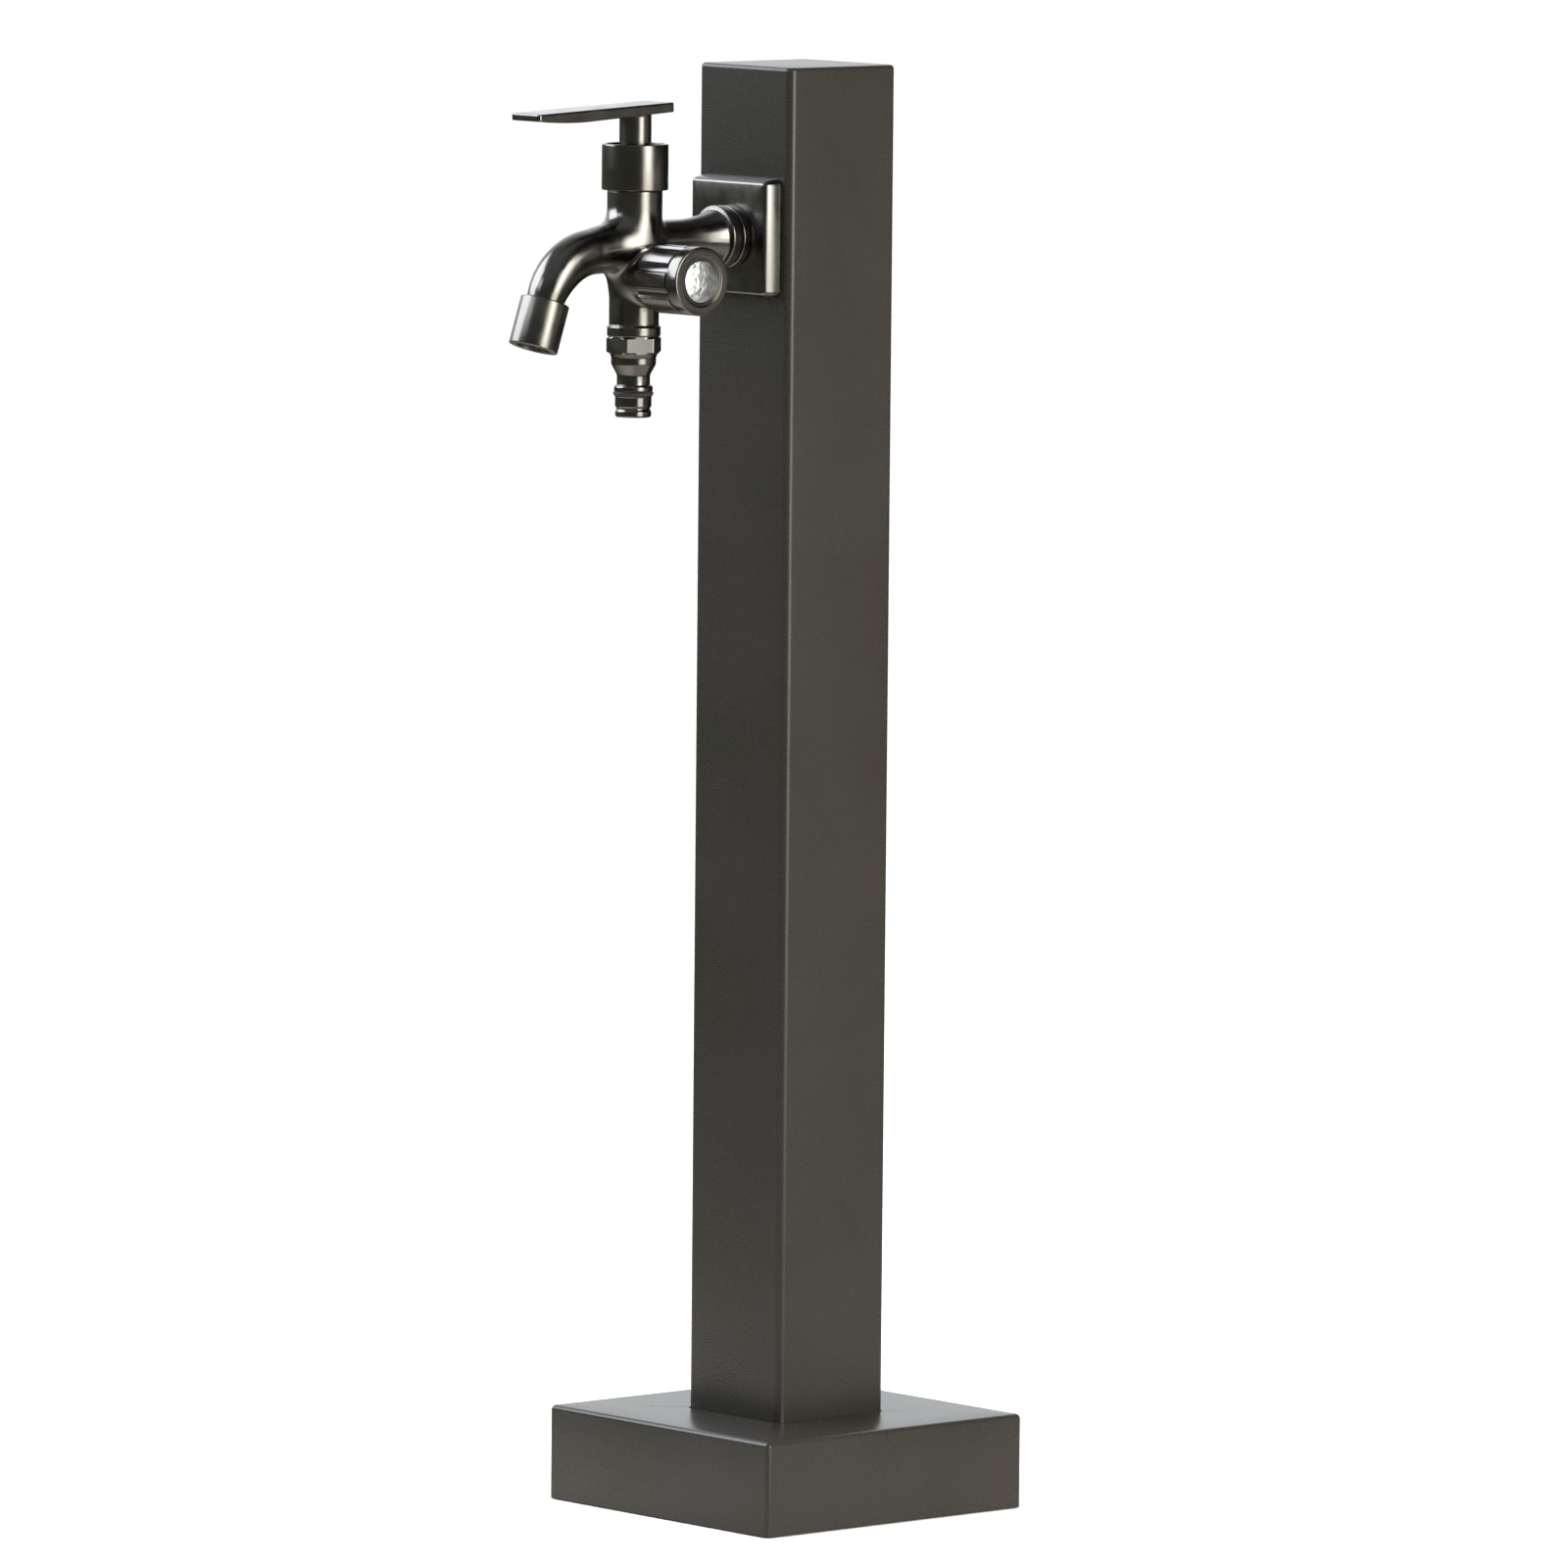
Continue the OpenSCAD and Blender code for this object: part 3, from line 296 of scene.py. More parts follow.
finishes["grey_plastic"] = moulded("grey_acetal", "#85878a", "#94969a", 0.42, 0.55,
                                   2500.0, 0.0001, 1.48)
finishes["rubber"] = moulded("nitrile_rubber", "#1b1b1b", "#252423", 0.62, 0.78,
                             1800.0, 0.0002, 1.52)
finishes["ceramic"] = moulded("lapped_alumina", "#dcd9d0", "#ebe8e0", 0.12, 0.2,
                              4000.0, 0.00003, 1.77)

slot_of = {row["node"]: row["material_slot"] for row in frame["record"]["subparts"]}
for part, slot in slot_of.items():
    nodes[part].data.materials.clear()
    nodes[part].data.materials.append(finishes[slot])
print(len(finishes), "finishes")

# %% [markdown]
# ## Putting a finished skin in its place
# Each skin replaces the part of the same name: the CAD part stays behind it for weight and
# contact, the skin is what shows. It rides on the same body and takes the same finish,
# unless it is given one of its own. Its mesh carries its place, so the object itself stays
# at the origin.

# %% Seat a skin on its part
body_of = {part: body for body, parts in frame["record"]["behaviour"]["bodies"].items()
           for part in parts}
QUARTER = math.radians(90)
WELD = 1e-7


def placed(x, y, z, turn=0.0, axis="X"):
    """A place in millimetres, with a turn about one of its axes."""
    return Matrix.Translation((x * MM, y * MM, z * MM)) @ Matrix.Rotation(turn, 4, axis)


def mesh_piece(name, points, faces, place=None):
    mesh = bpy.data.meshes.new(name)
    mesh.from_pydata([tuple(p) for p in points], [], [tuple(f) for f in faces])
    mesh.transform(Matrix.Scale(MM, 4))
    if place is not None:
        mesh.transform(place)
    mesh.validate()
    mesh.update()
    piece = new_object(name, mesh)
    mesh.shade_smooth()
    return piece


def weld(piece, slivers=False):
    """Joins points that meet and turns every face outward."""
    form = bmesh.new()
    form.from_mesh(piece.data)
    bmesh.ops.remove_doubles(form, verts=form.verts, dist=WELD)
    if slivers:
        bmesh.ops.dissolve_degenerate(form, edges=form.edges, dist=WELD)
    bmesh.ops.recalc_face_normals(form, faces=form.faces)
    form.to_mesh(piece.data)
    form.free()
    return piece


def evaluated_mesh(piece):
    """The piece's mesh with its modifiers worked in."""
    return bpy.data.meshes.new_from_object(piece.evaluated_get(
        bpy.context.evaluated_depsgraph_get()))


def seat(piece, part, sharp, finish=None):
    piece.data.set_sharp_from_angle(angle=math.radians(sharp))
    piece.data.materials.clear()
    piece.data.materials.append(finish or finishes[slot_of[part]])
    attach(piece, body_of[part])
    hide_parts(part)
    print(piece.name, len(piece.data.polygons), "faces")


print(len(body_of), "parts have a body")

# %% [markdown]
# ## Folded and drawn steel
# The post, the cap, the cover and the wall plate are all square, with round corners, and
# hollow. Each can be walked round as a stack of square outlines: up the outside, over the
# rounded edge, across the top, and back down the inside. Joining each outline to the next
# gives an even skin whose edges are truly round, which a box with a bevel does less exactly.
# A row says half the outline's width, its corner radius and its height.

# %% Square skins
CORNER_STEPS = 8
RIM_STEPS = 5
LEAST_CORNER = 0.05


def square_outline(half, corner, height):
    points = []
    for quarter in range(4):
        middle = QUARTER * (quarter + 0.5)
        cx = math.copysign(half - corner, math.cos(middle))
        cy = math.copysign(half - corner, math.sin(middle))
        for step in range(CORNER_STEPS + 1):
            angle = QUARTER * (quarter + step / CORNER_STEPS)
            points.append((cx + corner * math.cos(angle), cy + corner * math.sin(angle), height))
    return points


def rounded_rim(half, corner, height, radius):
    """Rows that turn from an upright wall onto a level top."""
    rows = []
    for step in range(RIM_STEPS + 1):
        angle = QUARTER * step / RIM_STEPS
        inward = radius * (1 - math.cos(angle))
        rows.append((half - inward, max(corner - inward, LEAST_CORNER),
                     height - radius * (1 - math.sin(angle))))
    return rows


def square_skin(name, rows, closed, place=None):
    """Joins the rows; a closed stack ends where it began, an open one gets two ends."""
    rings = [square_outline(*row) for row in rows]
    count = len(rings[0])
    faces = []
    for i in range(len(rings) if closed else len(rings) - 1):
        a, b = i * count, (i + 1) % len(rings) * count
        faces += [(a + k, a + (k + 1) % count, b + (k + 1) % count, b + k)
                  for k in range(count)]
    if not closed:
        faces.append(tuple(range((len(rings) - 1) * count, len(rings) * count)))
        faces.append(tuple(range(count - 1, -1, -1)))
    return weld(mesh_piece(name, [p for ring in rings for p in ring], faces, place))


print("an outline has", len(square_outline(1, 0.5, 0)), "points")

# %% [markdown]
# ## The post
# The post is 70 mm square tube, 1.5 mm thick. Such tube has a corner radius of two walls or
# so; the coat builds up on it and softens it, and the photograph shows it broader still, so
# it is drawn at 4.2 mm. That radius catches the light as the bright line down the near edge.
# The tap's tail passes through a hole in the front wall, which a Boolean cuts, as the
# maker's drill did.

# %% Post
SHEET = 1.5
GROUND_T = 6.0
TUBE_TOP = 719.0
POST_CORNER = 4.2
TAIL_HOLE_R = 11.0
DRILL_SIDES = 48

outside, inside = (POST_HALF, POST_CORNER), (POST_HALF - SHEET, POST_CORNER - SHEET)
post = square_skin("post_skin", [(*outside, GROUND_T), (*outside, TUBE_TOP),
                                 (*inside, TUBE_TOP), (*inside, GROUND_T)], closed=True)
turns = [2 * math.pi * k / DRILL_SIDES for k in range(DRILL_SIDES)]
walls = [(k, (k + 1) % DRILL_SIDES, DRILL_SIDES + (k + 1) % DRILL_SIDES, DRILL_SIDES + k)
         for k in range(DRILL_SIDES)]
ends = [tuple(range(DRILL_SIDES - 1, -1, -1)), tuple(range(DRILL_SIDES, 2 * DRILL_SIDES))]
drill = mesh_piece("drill", [
    (TAIL_HOLE_R * math.cos(a), y, INLET_Z + TAIL_HOLE_R * math.sin(a))
    for y in (FACE_Y - 3, FACE_Y + 4) for a in turns], walls + ends)
cut = post.modifiers.new("tail_hole", "BOOLEAN")
cut.object, cut.solver = drill, "EXACT"
drilled = evaluated_mesh(post)
post.modifiers.clear()
post.data = drilled
bpy.data.objects.remove(drill)
seat(post, "column_tube", sharp=40)

# %% [markdown]
# ## The cap
# The cap lies flush on the tube: a 2 mm plate whose top edge is well rounded, and a skirt
# that grips inside, 0.3 mm clear of the wall. From the camera its top is seen at a flat
# angle and reads as a pale strip.

# %% Cap
SKIRT_HALF = POST_HALF - SHEET - 0.3
SKIRT_END = TUBE_TOP - 10

cap = square_skin("cap_skin", [
    (SKIRT_HALF - SHEET, 1.0, TUBE_TOP), (SKIRT_HALF - SHEET, 1.0, SKIRT_END),
    (SKIRT_HALF, 2.4, SKIRT_END), (SKIRT_HALF, 2.4, TUBE_TOP), (*outside, TUBE_TOP),
    *rounded_rim(*outside, POST_TOP, radius=1.9)], closed=False)
seat(cap, "column_cap", sharp=35)

# %% [markdown]
# ## The base cover
# A box folded from 1.5 mm sheet drops over the post and hides the bolts. Folded sheet keeps
# a small outer radius, 2.6 mm with its coat, so its edges draw thin highlights. The hole for
# the post is 0.6 mm clear all round, and that fine dark gap at the post's foot belongs to
# the look. One more row midway across the top, and one under it, keep the wide faces even.

# %% Base cover
COVER_HALF = 84.0
COVER_TOP = 47.0
COVER_EDGE = 2.6
HOLE_HALF = POST_HALF + 0.6
HOLE_CORNER = 4.4
MIDWAY = 60.0

under = COVER_TOP - SHEET
cover = square_skin("cover_skin", [
    (COVER_HALF, COVER_EDGE, 0.0), *rounded_rim(COVER_HALF, COVER_EDGE, COVER_TOP, COVER_EDGE),
    (MIDWAY, 3.0, COVER_TOP), (HOLE_HALF + 0.3, HOLE_CORNER, COVER_TOP),
    (HOLE_HALF, HOLE_CORNER, COVER_TOP - 0.3), (HOLE_HALF, HOLE_CORNER, under),
    (MIDWAY, 1.0, under), (COVER_HALF - COVER_EDGE, 1.0, under),
    (COVER_HALF - SHEET, 1.1, under - 1.1), (COVER_HALF - SHEET, 1.1, 0.0)], closed=True)
seat(cover, "base_cover", sharp=40)

# %% [markdown]
# ## The wall plate
# The plate behind the tap is a square dish, pressed from 1.2 mm sheet, 59 mm wide and 10 mm
# deep. Its sides lean in by 3 mm on the way to the front, slowly at first and then fast, as
# a quarter of an ellipse does. That curve draws the broad white bar down its right side. It
# opens towards the post and has a round hole for the tail, so the stack of outlines ends in
# a circle: a square whose corner equals its half.

# %% Wall plate
PLATE_HALF, PLATE_DEPTH, PLATE_SHEET = 29.5, 10.0, 1.2
LEAN_STEPS = 14


def leaning_side(half, corner, depth, lean):
    rows = []
    for step in range(LEAN_STEPS + 1):
        angle = QUARTER * step / LEAN_STEPS
        inward = lean * (1 - math.cos(angle))
        rows.append((half - inward, corner - inward, depth * math.sin(angle)))
    return rows


back_depth = PLATE_DEPTH - PLATE_SHEET
dish_rows = [
    *leaning_side(PLATE_HALF, 3.6, PLATE_DEPTH, lean=3.0),
    (18.0, 12.0, PLATE_DEPTH), (TAIL_HOLE_R, TAIL_HOLE_R, PLATE_DEPTH),
    (TAIL_HOLE_R, TAIL_HOLE_R, back_depth), (18.0, 12.0, back_depth),
    *leaning_side(PLATE_HALF - PLATE_SHEET, 3.0, back_depth, lean=2.4)[::-1]]
plate = square_skin("wall_plate_skin", dish_rows, closed=True,
                    place=placed(0, FACE_Y, INLET_Z, QUARTER))
seat(plate, "wall_plate", sharp=40)

# %% [markdown]
# ## Turned parts
# Bonnet, nozzle, nipple and tail are turned from bar. A profile of radius and height,
# spun round an axis, describes each one. Real turned edges are never sharp: the tool leaves
# an ease of a few tenths. The helper rounds every corner that is given an ease before it
# spins the profile, and those small arcs carry the bright rings in the photograph. An ease
# takes less than half of each side, so that two arcs never meet.

# %% Lathe
EASE_STEPS = 4
EASE_SHARE = 0.45


def eased(profile):
    """Rounds the corners of a closed profile of (radius, height, ease)."""
    out = []
    count = len(profile)
    for i, (r, z, ease) in enumerate(profile):
        here = np.array([r, z], float)
        if ease <= 0:
            out.append(here)
            continue
        before = np.array(profile[i - 1][:2], float) - here
        after = np.array(profile[(i + 1) % count][:2], float) - here
        lb, la = np.linalg.norm(before), np.linalg.norm(after)
        reach = min(ease, EASE_SHARE * lb, EASE_SHARE * la)
        p, q = here + before / lb * reach, here + after / la * reach
        out += [(1 - t) ** 2 * p + 2 * t * (1 - t) * here + t * t * q
                for t in np.linspace(0, 1, EASE_STEPS + 1)]
    return out


def turned(name, profile, place, segments=128):
    """Spins a closed profile round the local Z axis."""
    ring = eased(profile)
    count = len(ring)
    angles = [2 * math.pi * k / segments for k in range(segments)]
    points = [(r * math.cos(a), r * math.sin(a), z) for a in angles for r, z in ring]
    faces = []
    for k in range(segments):
        a, b = k * count, (k + 1) % segments * count
        faces += [(a + i, b + i, b + (i + 1) % count, a + (i + 1) % count)
                  for i in range(count)]
    return weld(mesh_piece(name, points, faces, place), slivers=True)


on_side = placed(SIDE_SEAT_X, STEM_Y, SIDE_Z, QUARTER, "Y")
on_spout = placed(0, *SPOUT_END, QUARTER + SPOUT_SLOPE)
on_plate = placed(0, PLATE_FRONT_Y, INLET_Z, QUARTER)
print("three axes to turn on")

# %% [markdown]
# ## Bonnet, nozzle and inlet tail
# The bonnet is a plain cup over the cartridge. Its top is turned out to a shallow recess
# with a narrow rim, and the lever's boss stands in it. The nozzle is a sleeve whose lip
# holds the aerator. The tail's ring clamps the wall plate.

# %% Bonnet, nozzle and tail
bonnet = turned("bonnet_skin", [
    (12.3, 0, 0), (16.4, 0, 0.6), (16.4, 22.7, 0.9), (14.6, 22.7, 0.5), (14.6, 20.9, 0.3),
    (9.1, 20.9, 0.3), (9.1, 18.9, 0), (12.3, 18.9, 0)], placed(0, STEM_Y, NECK_TOP_Z))
seat(bonnet, "bonnet", sharp=50)

nozzle = turned("nozzle_skin", [
    (9.32, 0, 0), (12.2, 0, 0.9), (12.2, 24.2, 0.6), (8.4, 24.2, 0.3), (8.4, 21.7, 0),
    (9.32, 21.7, 0)], on_spout)
seat(nozzle, "spout_nozzle", sharp=50, finish=satin_gunmetal)

tail = turned("tail_skin", [
    (7.0, -25.0, 0), (10.4, -25.0, 0.6), (10.4, 0, 0), (15.5, 0, 0.3), (15.5, 2.2, 0.9),
    (12.5, 2.2, 0.3), (12.5, 3.1, 0), (10.4, 3.1, 0), (10.4, 12.1, 0.6), (7.0, 12.1, 0)],
    on_plate)
seat(tail, "inlet_tail", sharp=50)

# %% [markdown]
# ## Cutting flutes and flats by rule
# The knob's finger flutes and the nipple's six spanner flats follow one rule: the same
# cutter, repeated round an axis, takes away what lies outside it. Geometry Nodes can state
# that rule once. For each point the tree finds the nearest cutter's direction, works out how
# far from the axis the cutter leaves metal standing, and keeps the smaller radius. A smooth
# minimum instead of a hard one rounds the edges as a polishing wheel does. A spanner flat is
# the same cut by a very large wheel. Where a point lies beside the cutter, the limit is set
# a metre further out, which leaves the point alone.

# %% The cutter tree
def cutter_tree(name):
    tree = bpy.data.node_groups.new(name, "GeometryNodeTree")
    face = tree.interface
    face.new_socket("Geometry", in_out="INPUT", socket_type="NodeSocketGeometry")
    for label in ("Count", "Cutter radius", "Least radius", "First turn", "Start", "End",
                  "Ease"):
        kind = "NodeSocketInt" if label == "Count" else "NodeSocketFloat"
        face.new_socket(label, in_out="INPUT", socket_type=kind)
    face.new_socket("Finish", in_out="INPUT", socket_type="NodeSocketMaterial")
    face.new_socket("Geometry", in_out="OUTPUT", socket_type="NodeSocketGeometry")
    given = add(tree, "NodeGroupInput").outputs

    def sums(operation, *values):
        return add(tree, "ShaderNodeMath", dict(enumerate(values)),
                   operation=operation).outputs[0]

    place = add(tree, "ShaderNodeSeparateXYZ",
                {0: add(tree, "GeometryNodeInputPosition").outputs[0]}).outputs
    x, y, z = place["X"], place["Y"], place["Z"]
    radius = sums("SQRT", sums("ADD", sums("MULTIPLY", x, x), sums("MULTIPLY", y, y)))
    angle = sums("SUBTRACT", sums("ARCTAN2", y, x), given["First turn"])
    pitch = sums("DIVIDE", 2 * math.pi, given["Count"])
    nearest = sums("MULTIPLY", sums("ROUND", sums("DIVIDE", angle, pitch)), pitch)
    off = sums("SUBTRACT", angle, nearest)
    centre = sums("ADD", given["Least radius"], given["Cutter radius"])
    side = sums("MULTIPLY", centre, sums("SINE", off))
    inside = sums("SUBTRACT", sums("MULTIPLY", given["Cutter radius"], given["Cutter radius"]),
                  sums("MULTIPLY", side, side))
    meets = sums("SUBTRACT", sums("MULTIPLY", centre, sums("COSINE", off)),
                 sums("SQRT", sums("MAXIMUM", inside, 0.0)))
    limit = sums("ADD", meets, sums("LESS_THAN", inside, 0.0))
    kept = sums("SMOOTH_MIN", radius, limit, given["Ease"])
    in_reach = sums("MULTIPLY", sums("GREATER_THAN", z, given["Start"]),
                    sums("LESS_THAN", z, given["End"]))
    share = sums("DIVIDE", kept, sums("MAXIMUM", radius, 1e-6))
    moved = add(tree, "ShaderNodeCombineXYZ", {
        0: sums("MULTIPLY", x, share), 1: sums("MULTIPLY", y, share), 2: z}).outputs[0]
    set_place = add(tree, "GeometryNodeSetPosition", {
        "Geometry": given["Geometry"], "Selection": in_reach, "Position": moved})
    real = add(tree, "GeometryNodeRealizeInstances", {0: set_place.outputs[0]})
    finish = add(tree, "GeometryNodeSetMaterial", {
        "Geometry": real.outputs[0], "Material": given["Finish"]})
    add(tree, "NodeGroupOutput", {"Geometry": finish.outputs[0]})
    return tree


cutters = cutter_tree("cutters_round_an_axis")
print(len(cutters.nodes), "nodes cut a piece")

# %% [markdown]
# ## Working a cutter on a piece
# The blank lies on its own axis while the tree works on it. The result becomes the piece's
# mesh, which then moves to its place on the tap.

# %% Cut round an axis
def cut_round(piece, place, finish, **inputs):
    modifier = piece.modifiers.new("cutters", "NODES")
    modifier.node_group = cutters
    wanted = {name.replace("_", " "): value for name, value in inputs.items()}
    wanted["Finish"] = finish
    for item in cutters.interface.items_tree:
        if item.in_out == "INPUT" and item.name in wanted:
            modifier[item.identifier] = wanted[item.name]
    bpy.context.view_layer.update()
    shaped = evaluated_mesh(piece)
    piece.modifiers.clear()
    piece.data = shaped
    shaped.transform(place)
    return piece


print("inputs:", [item.name for item in cutters.interface.items_tree][1:])

# %% [markdown]
# ## The fluted knob
# The knob has eight shallow flutes for the fingers. They run from its back to a narrow
# groove, and beyond the groove comes a smooth rim. The blank is turned with many rings, so
# the cutters have points to move. Its inside follows the cartridge, spindle and screw.

# %% Knob
KNOB_BACK, KNOB_L, KNOB_R = 20.2, 32.1, 17.0
GROOVE = 23.3, 24.5


def knob_blank():
    outer = [(15.0, 0, 0.0), (16.6, 0.5, 0.4), (KNOB_R, 2.0, 0.8)]
    outer += [(KNOB_R, z, 0) for z in np.linspace(3.0, 22.4, 12)]
    outer += [(KNOB_R, GROOVE[0], 0.35), (16.0, GROOVE[0], 0.25), (16.0, GROOVE[1], 0.25),
              (KNOB_R, GROOVE[1], 0.35), (KNOB_R, KNOB_L, 1.0), (12.6, KNOB_L, 0.25),
              (12.1, 31.6, 0.2), (10.5, 31.6, 0.2)]
    inner = [(10.5, 29.1, 0), (4.3, 29.1, 0), (4.3, 27.6, 0), (2.05, 27.6, 0), (2.05, 26.1, 0),
             (4.05, 26.1, 0), (4.05, 20.9, 0), (7.5, 20.9, 0), (7.5, 9.2, 0), (12.7, 9.2, 0),
             (12.7, 0, 0.3)]
    return turned("knob_skin", outer + inner, Matrix.Identity(4), segments=384)


knob_place = on_side @ placed(0, 0, KNOB_BACK)
knob = cut_round(knob_blank(), knob_place, finishes["gunmetal"], Count=8,
                 Cutter_radius=3.4 * MM, Least_radius=15.3 * MM, First_turn=math.pi / 8,
                 Start=-1 * MM, End=23.9 * MM, Ease=0.35 * MM)
seat(knob, "side_knob", sharp=50)

# %% [markdown]
# ## The bright insert
# A chromed disc with a shallow dome snaps into the knob's face. It gathers light from a
# wide part of the sky, which makes it the brightest spot of the tap. It is left bare.
# Half the disc's width and the dome's rise give the radius of the sphere it is cut from.

# %% Insert
DISC_R, DOME_RISE, DOME_TOP = 10.35, 1.2, 3.55
DISC_SUNK = 2.85

dome_r = (DISC_R ** 2 + DOME_RISE ** 2) / (2 * DOME_RISE)
dome = [(dome_r * math.sin(a), DOME_TOP - dome_r * (1 - math.cos(a)), 0)
        for a in np.linspace(0, math.asin((DISC_R - 0.2) / dome_r), 14)]
insert = turned("insert_skin", dome + [(DISC_R, 2.25, 0.1), (DISC_R, 0, 0.2), (0.0, 0, 0)],
                on_side @ placed(0, 0, KNOB_BACK + KNOB_L - DISC_SUNK))
seat(insert, "knob_insert", sharp=50)

# %% [markdown]
# ## The hose nipple
# Hexagon, cone, waist, neck and a grooved head for a push-on coupling are cut from one bar.
# The head has a small groove near its tip, then the groove of its rubber ring, with a wider
# collar on each side of that. The six flats come from the cutter tree, with a wheel so large
# that it cuts flat; they stand 5 degrees off the square, as a hexagon does that was turned
# until it was tight. The cone at its top and bottom is part of the turned blank, which gives
# the curved corners that every nut has.

# %% Nipple
NIPPLE_END_Z = 549.5
HEX_HALF, HEX_START, HEX_END = 12.1, 31.4, 40.0
CHAMFER_RISE = 0.577
FLAT_WHEEL = 1.0


def nipple_blank():
    corner = HEX_HALF / math.cos(math.radians(30))
    cone = (corner - HEX_HALF) * 0.9
    outer = [(5.0, 0, 0.4), (8.2, 0, 0), (8.9, 0.7, 0.3), (8.9, 2.9, 0.2), (8.3, 3.9, 0.2),
             (8.3, 4.6, 0.2), (9.0, 5.4, 0.3), (9.0, 9.9, 0.2), (9.5, 10.4, 0.3),
             (7.4, 10.5, 0.2), (7.4, 12.9, 0.2), (9.6, 13.0, 0.3), (9.6, 15.0, 0.6),
             (8.9, 15.9, 0.5), (8.2, 15.9, 0.4), (8.2, 20.8, 0.8), (11.1, 26.2, 0.6),
             (11.1, 29.4, 0.4), (11.9, HEX_START, 0)]
    outer += [(corner - cone, HEX_START, 0.1), (corner, HEX_START + cone * CHAMFER_RISE, 0)]
    outer += [(corner, z, 0) for z in np.linspace(HEX_START, HEX_END, 10)[1:-1]]
    outer += [(corner, HEX_END - cone * CHAMFER_RISE, 0), (corner - cone, HEX_END, 0.1)]
    inner = [(10.52, HEX_END, 0.2), (10.52, HEX_START, 0), (5.0, HEX_START, 0)]
    return turned("nipple_skin", outer + inner, Matrix.Identity(4), segments=288)


nipple = cut_round(nipple_blank(), placed(0, STEM_Y, NIPPLE_END_Z), finishes["gunmetal"],
                   Count=6, Cutter_radius=FLAT_WHEEL, Least_radius=HEX_HALF * MM,
                   First_turn=math.radians(35), Start=31.0 * MM, End=41 * MM, Ease=0.15 * MM)
seat(nipple, "hose_nipple", sharp=35)

# %% [markdown]
# ## Casting by distance
# A cast body has no seams. Where arm, spout and boss leave the core, the pattern maker
# fills each corner with a fillet. Joining meshes leaves creases, and smoothing them would
# wear off the crisp rims too. So the casting is described by distance: a function says how
# far any point lies from each simple form, and a smooth minimum blends two of them with the
# fillet we choose.

# %% Distances and blends
def blend(a, b, fillet):
    h = np.clip(0.5 + 0.5 * (b - a) / fillet, 0, 1)
    return b + (a - b) * h - fillet * h * (1 - h)


def rim(out, past, ease):
    """Distance to a form's side and end, joined by an eased edge."""
    a, b = out + ease, past + ease
    return np.minimum(np.maximum(a, b), 0) + np.hypot(np.maximum(a, 0), np.maximum(b, 0)) - ease


def between(value, low, high):
    return np.maximum(low - value, value - high)


print("a blend of 2 and 2 with a fillet of 4 is", blend(2.0, 2.0, 4.0))

# %% [markdown]
# ## A skin where the distance is zero
# The distance is taken on a fine grid. Each grid cell that the surface passes through gets
# one point, at the middle of the places where the surface cuts the cell's edges, and each
# edge that is cut gets a face between its four cells. Then every point slides down the slope
# of the distance until it lies on the true surface, but never far from its own cell.

# %% Skin by distance
SLIDES = 4
PROBE = 0.02
LEAST_SLOPE = 0.2
MAX_SLIDE = 0.6


def slide_onto(distance, points, step):
    home = points.copy()
    for _ in range(SLIDES):
        slope = np.stack([(distance(points + d) - distance(points - d)) / (2 * PROBE)
                          for d in np.eye(3) * PROBE], -1)
        length = np.maximum((slope ** 2).sum(1), LEAST_SLOPE)
        points = points - slope * (distance(points) / length)[:, None]
        points = home + np.clip(points - home, -MAX_SLIDE * step, MAX_SLIDE * step)
    return points


def skin_by_distance(name, distance, low, high, step):
    axes = [np.arange(a, b + step, step) for a, b in zip(low, high)]
    shape = [len(a) for a in axes]
    grid = np.stack(np.meshgrid(*axes, indexing="ij"), -1).reshape(-1, 3)
    value = distance(grid).reshape(shape)
    cells = tuple(n - 1 for n in shape)
    total, hits = np.zeros(cells + (3,)), np.zeros(cells)
    crossings = []
    for axis in range(3):
        first = [slice(None)] * 3
        second = [slice(None)] * 3
        first[axis], second[axis] = slice(0, -1), slice(1, None)
        v0, v1 = value[tuple(first)], value[tuple(second)]
        crosses = (v0 < 0) != (v1 < 0)
        share = np.where(crosses, v0 / np.where(crosses, v0 - v1, 1), 0)
        crossings.append((crosses, v0 < 0))
        others = [i for i in range(3) if i != axis]
        for da in (0, 1):
            for db in (0, 1):
                part = [slice(None)] * 3
                part[others[0]] = slice(da, da + cells[others[0]])
                part[others[1]] = slice(db, db + cells[others[1]])
                m = crosses[tuple(part)]
                hits += m
                total[..., axis] += np.where(m, share[tuple(part)], 0)
                total[..., others[0]] += m * da
                total[..., others[1]] += m * db
    used = hits > 0
    number = np.full(cells, -1)
    number[used] = np.arange(used.sum())
    points = (np.argwhere(used) + total[used] / hits[used][:, None]) * step + np.array(low)
    faces = []
    for axis, (crosses, inside) in enumerate(crossings):
        b, c = (axis + 1) % 3, (axis + 2) % 3
        at = np.argwhere(crosses)
        at = at[(at[:, b] > 0) & (at[:, c] > 0) & (at[:, b] < cells[b]) & (at[:, c] < cells[c])]
        corner = []
        for db, dc in ((1, 1), (0, 1), (0, 0), (1, 0)):
            cell = at.copy()
            cell[:, b] -= db
            cell[:, c] -= dc
            corner.append(number[tuple(cell.T)])
        quad = np.stack(corner, 1)
        outward = inside[tuple(at.T)]
        faces.append(np.where(outward[:, None], quad, quad[:, ::-1]))
    return mesh_piece(name, slide_onto(distance, points, step), np.concatenate(faces))


print("points slide", SLIDES, "times")

# %% [markdown]
# ## The spout's centre line
# The spout leaves the body on a straight root that dips a little, follows the bend, and ends
# in a short straight tip inside the nozzle. For any point this gives the distance off that
# line, how far it lies along the root or the tip, and the share of the bend passed.

# %% Along the spout
BEYOND = 40.0


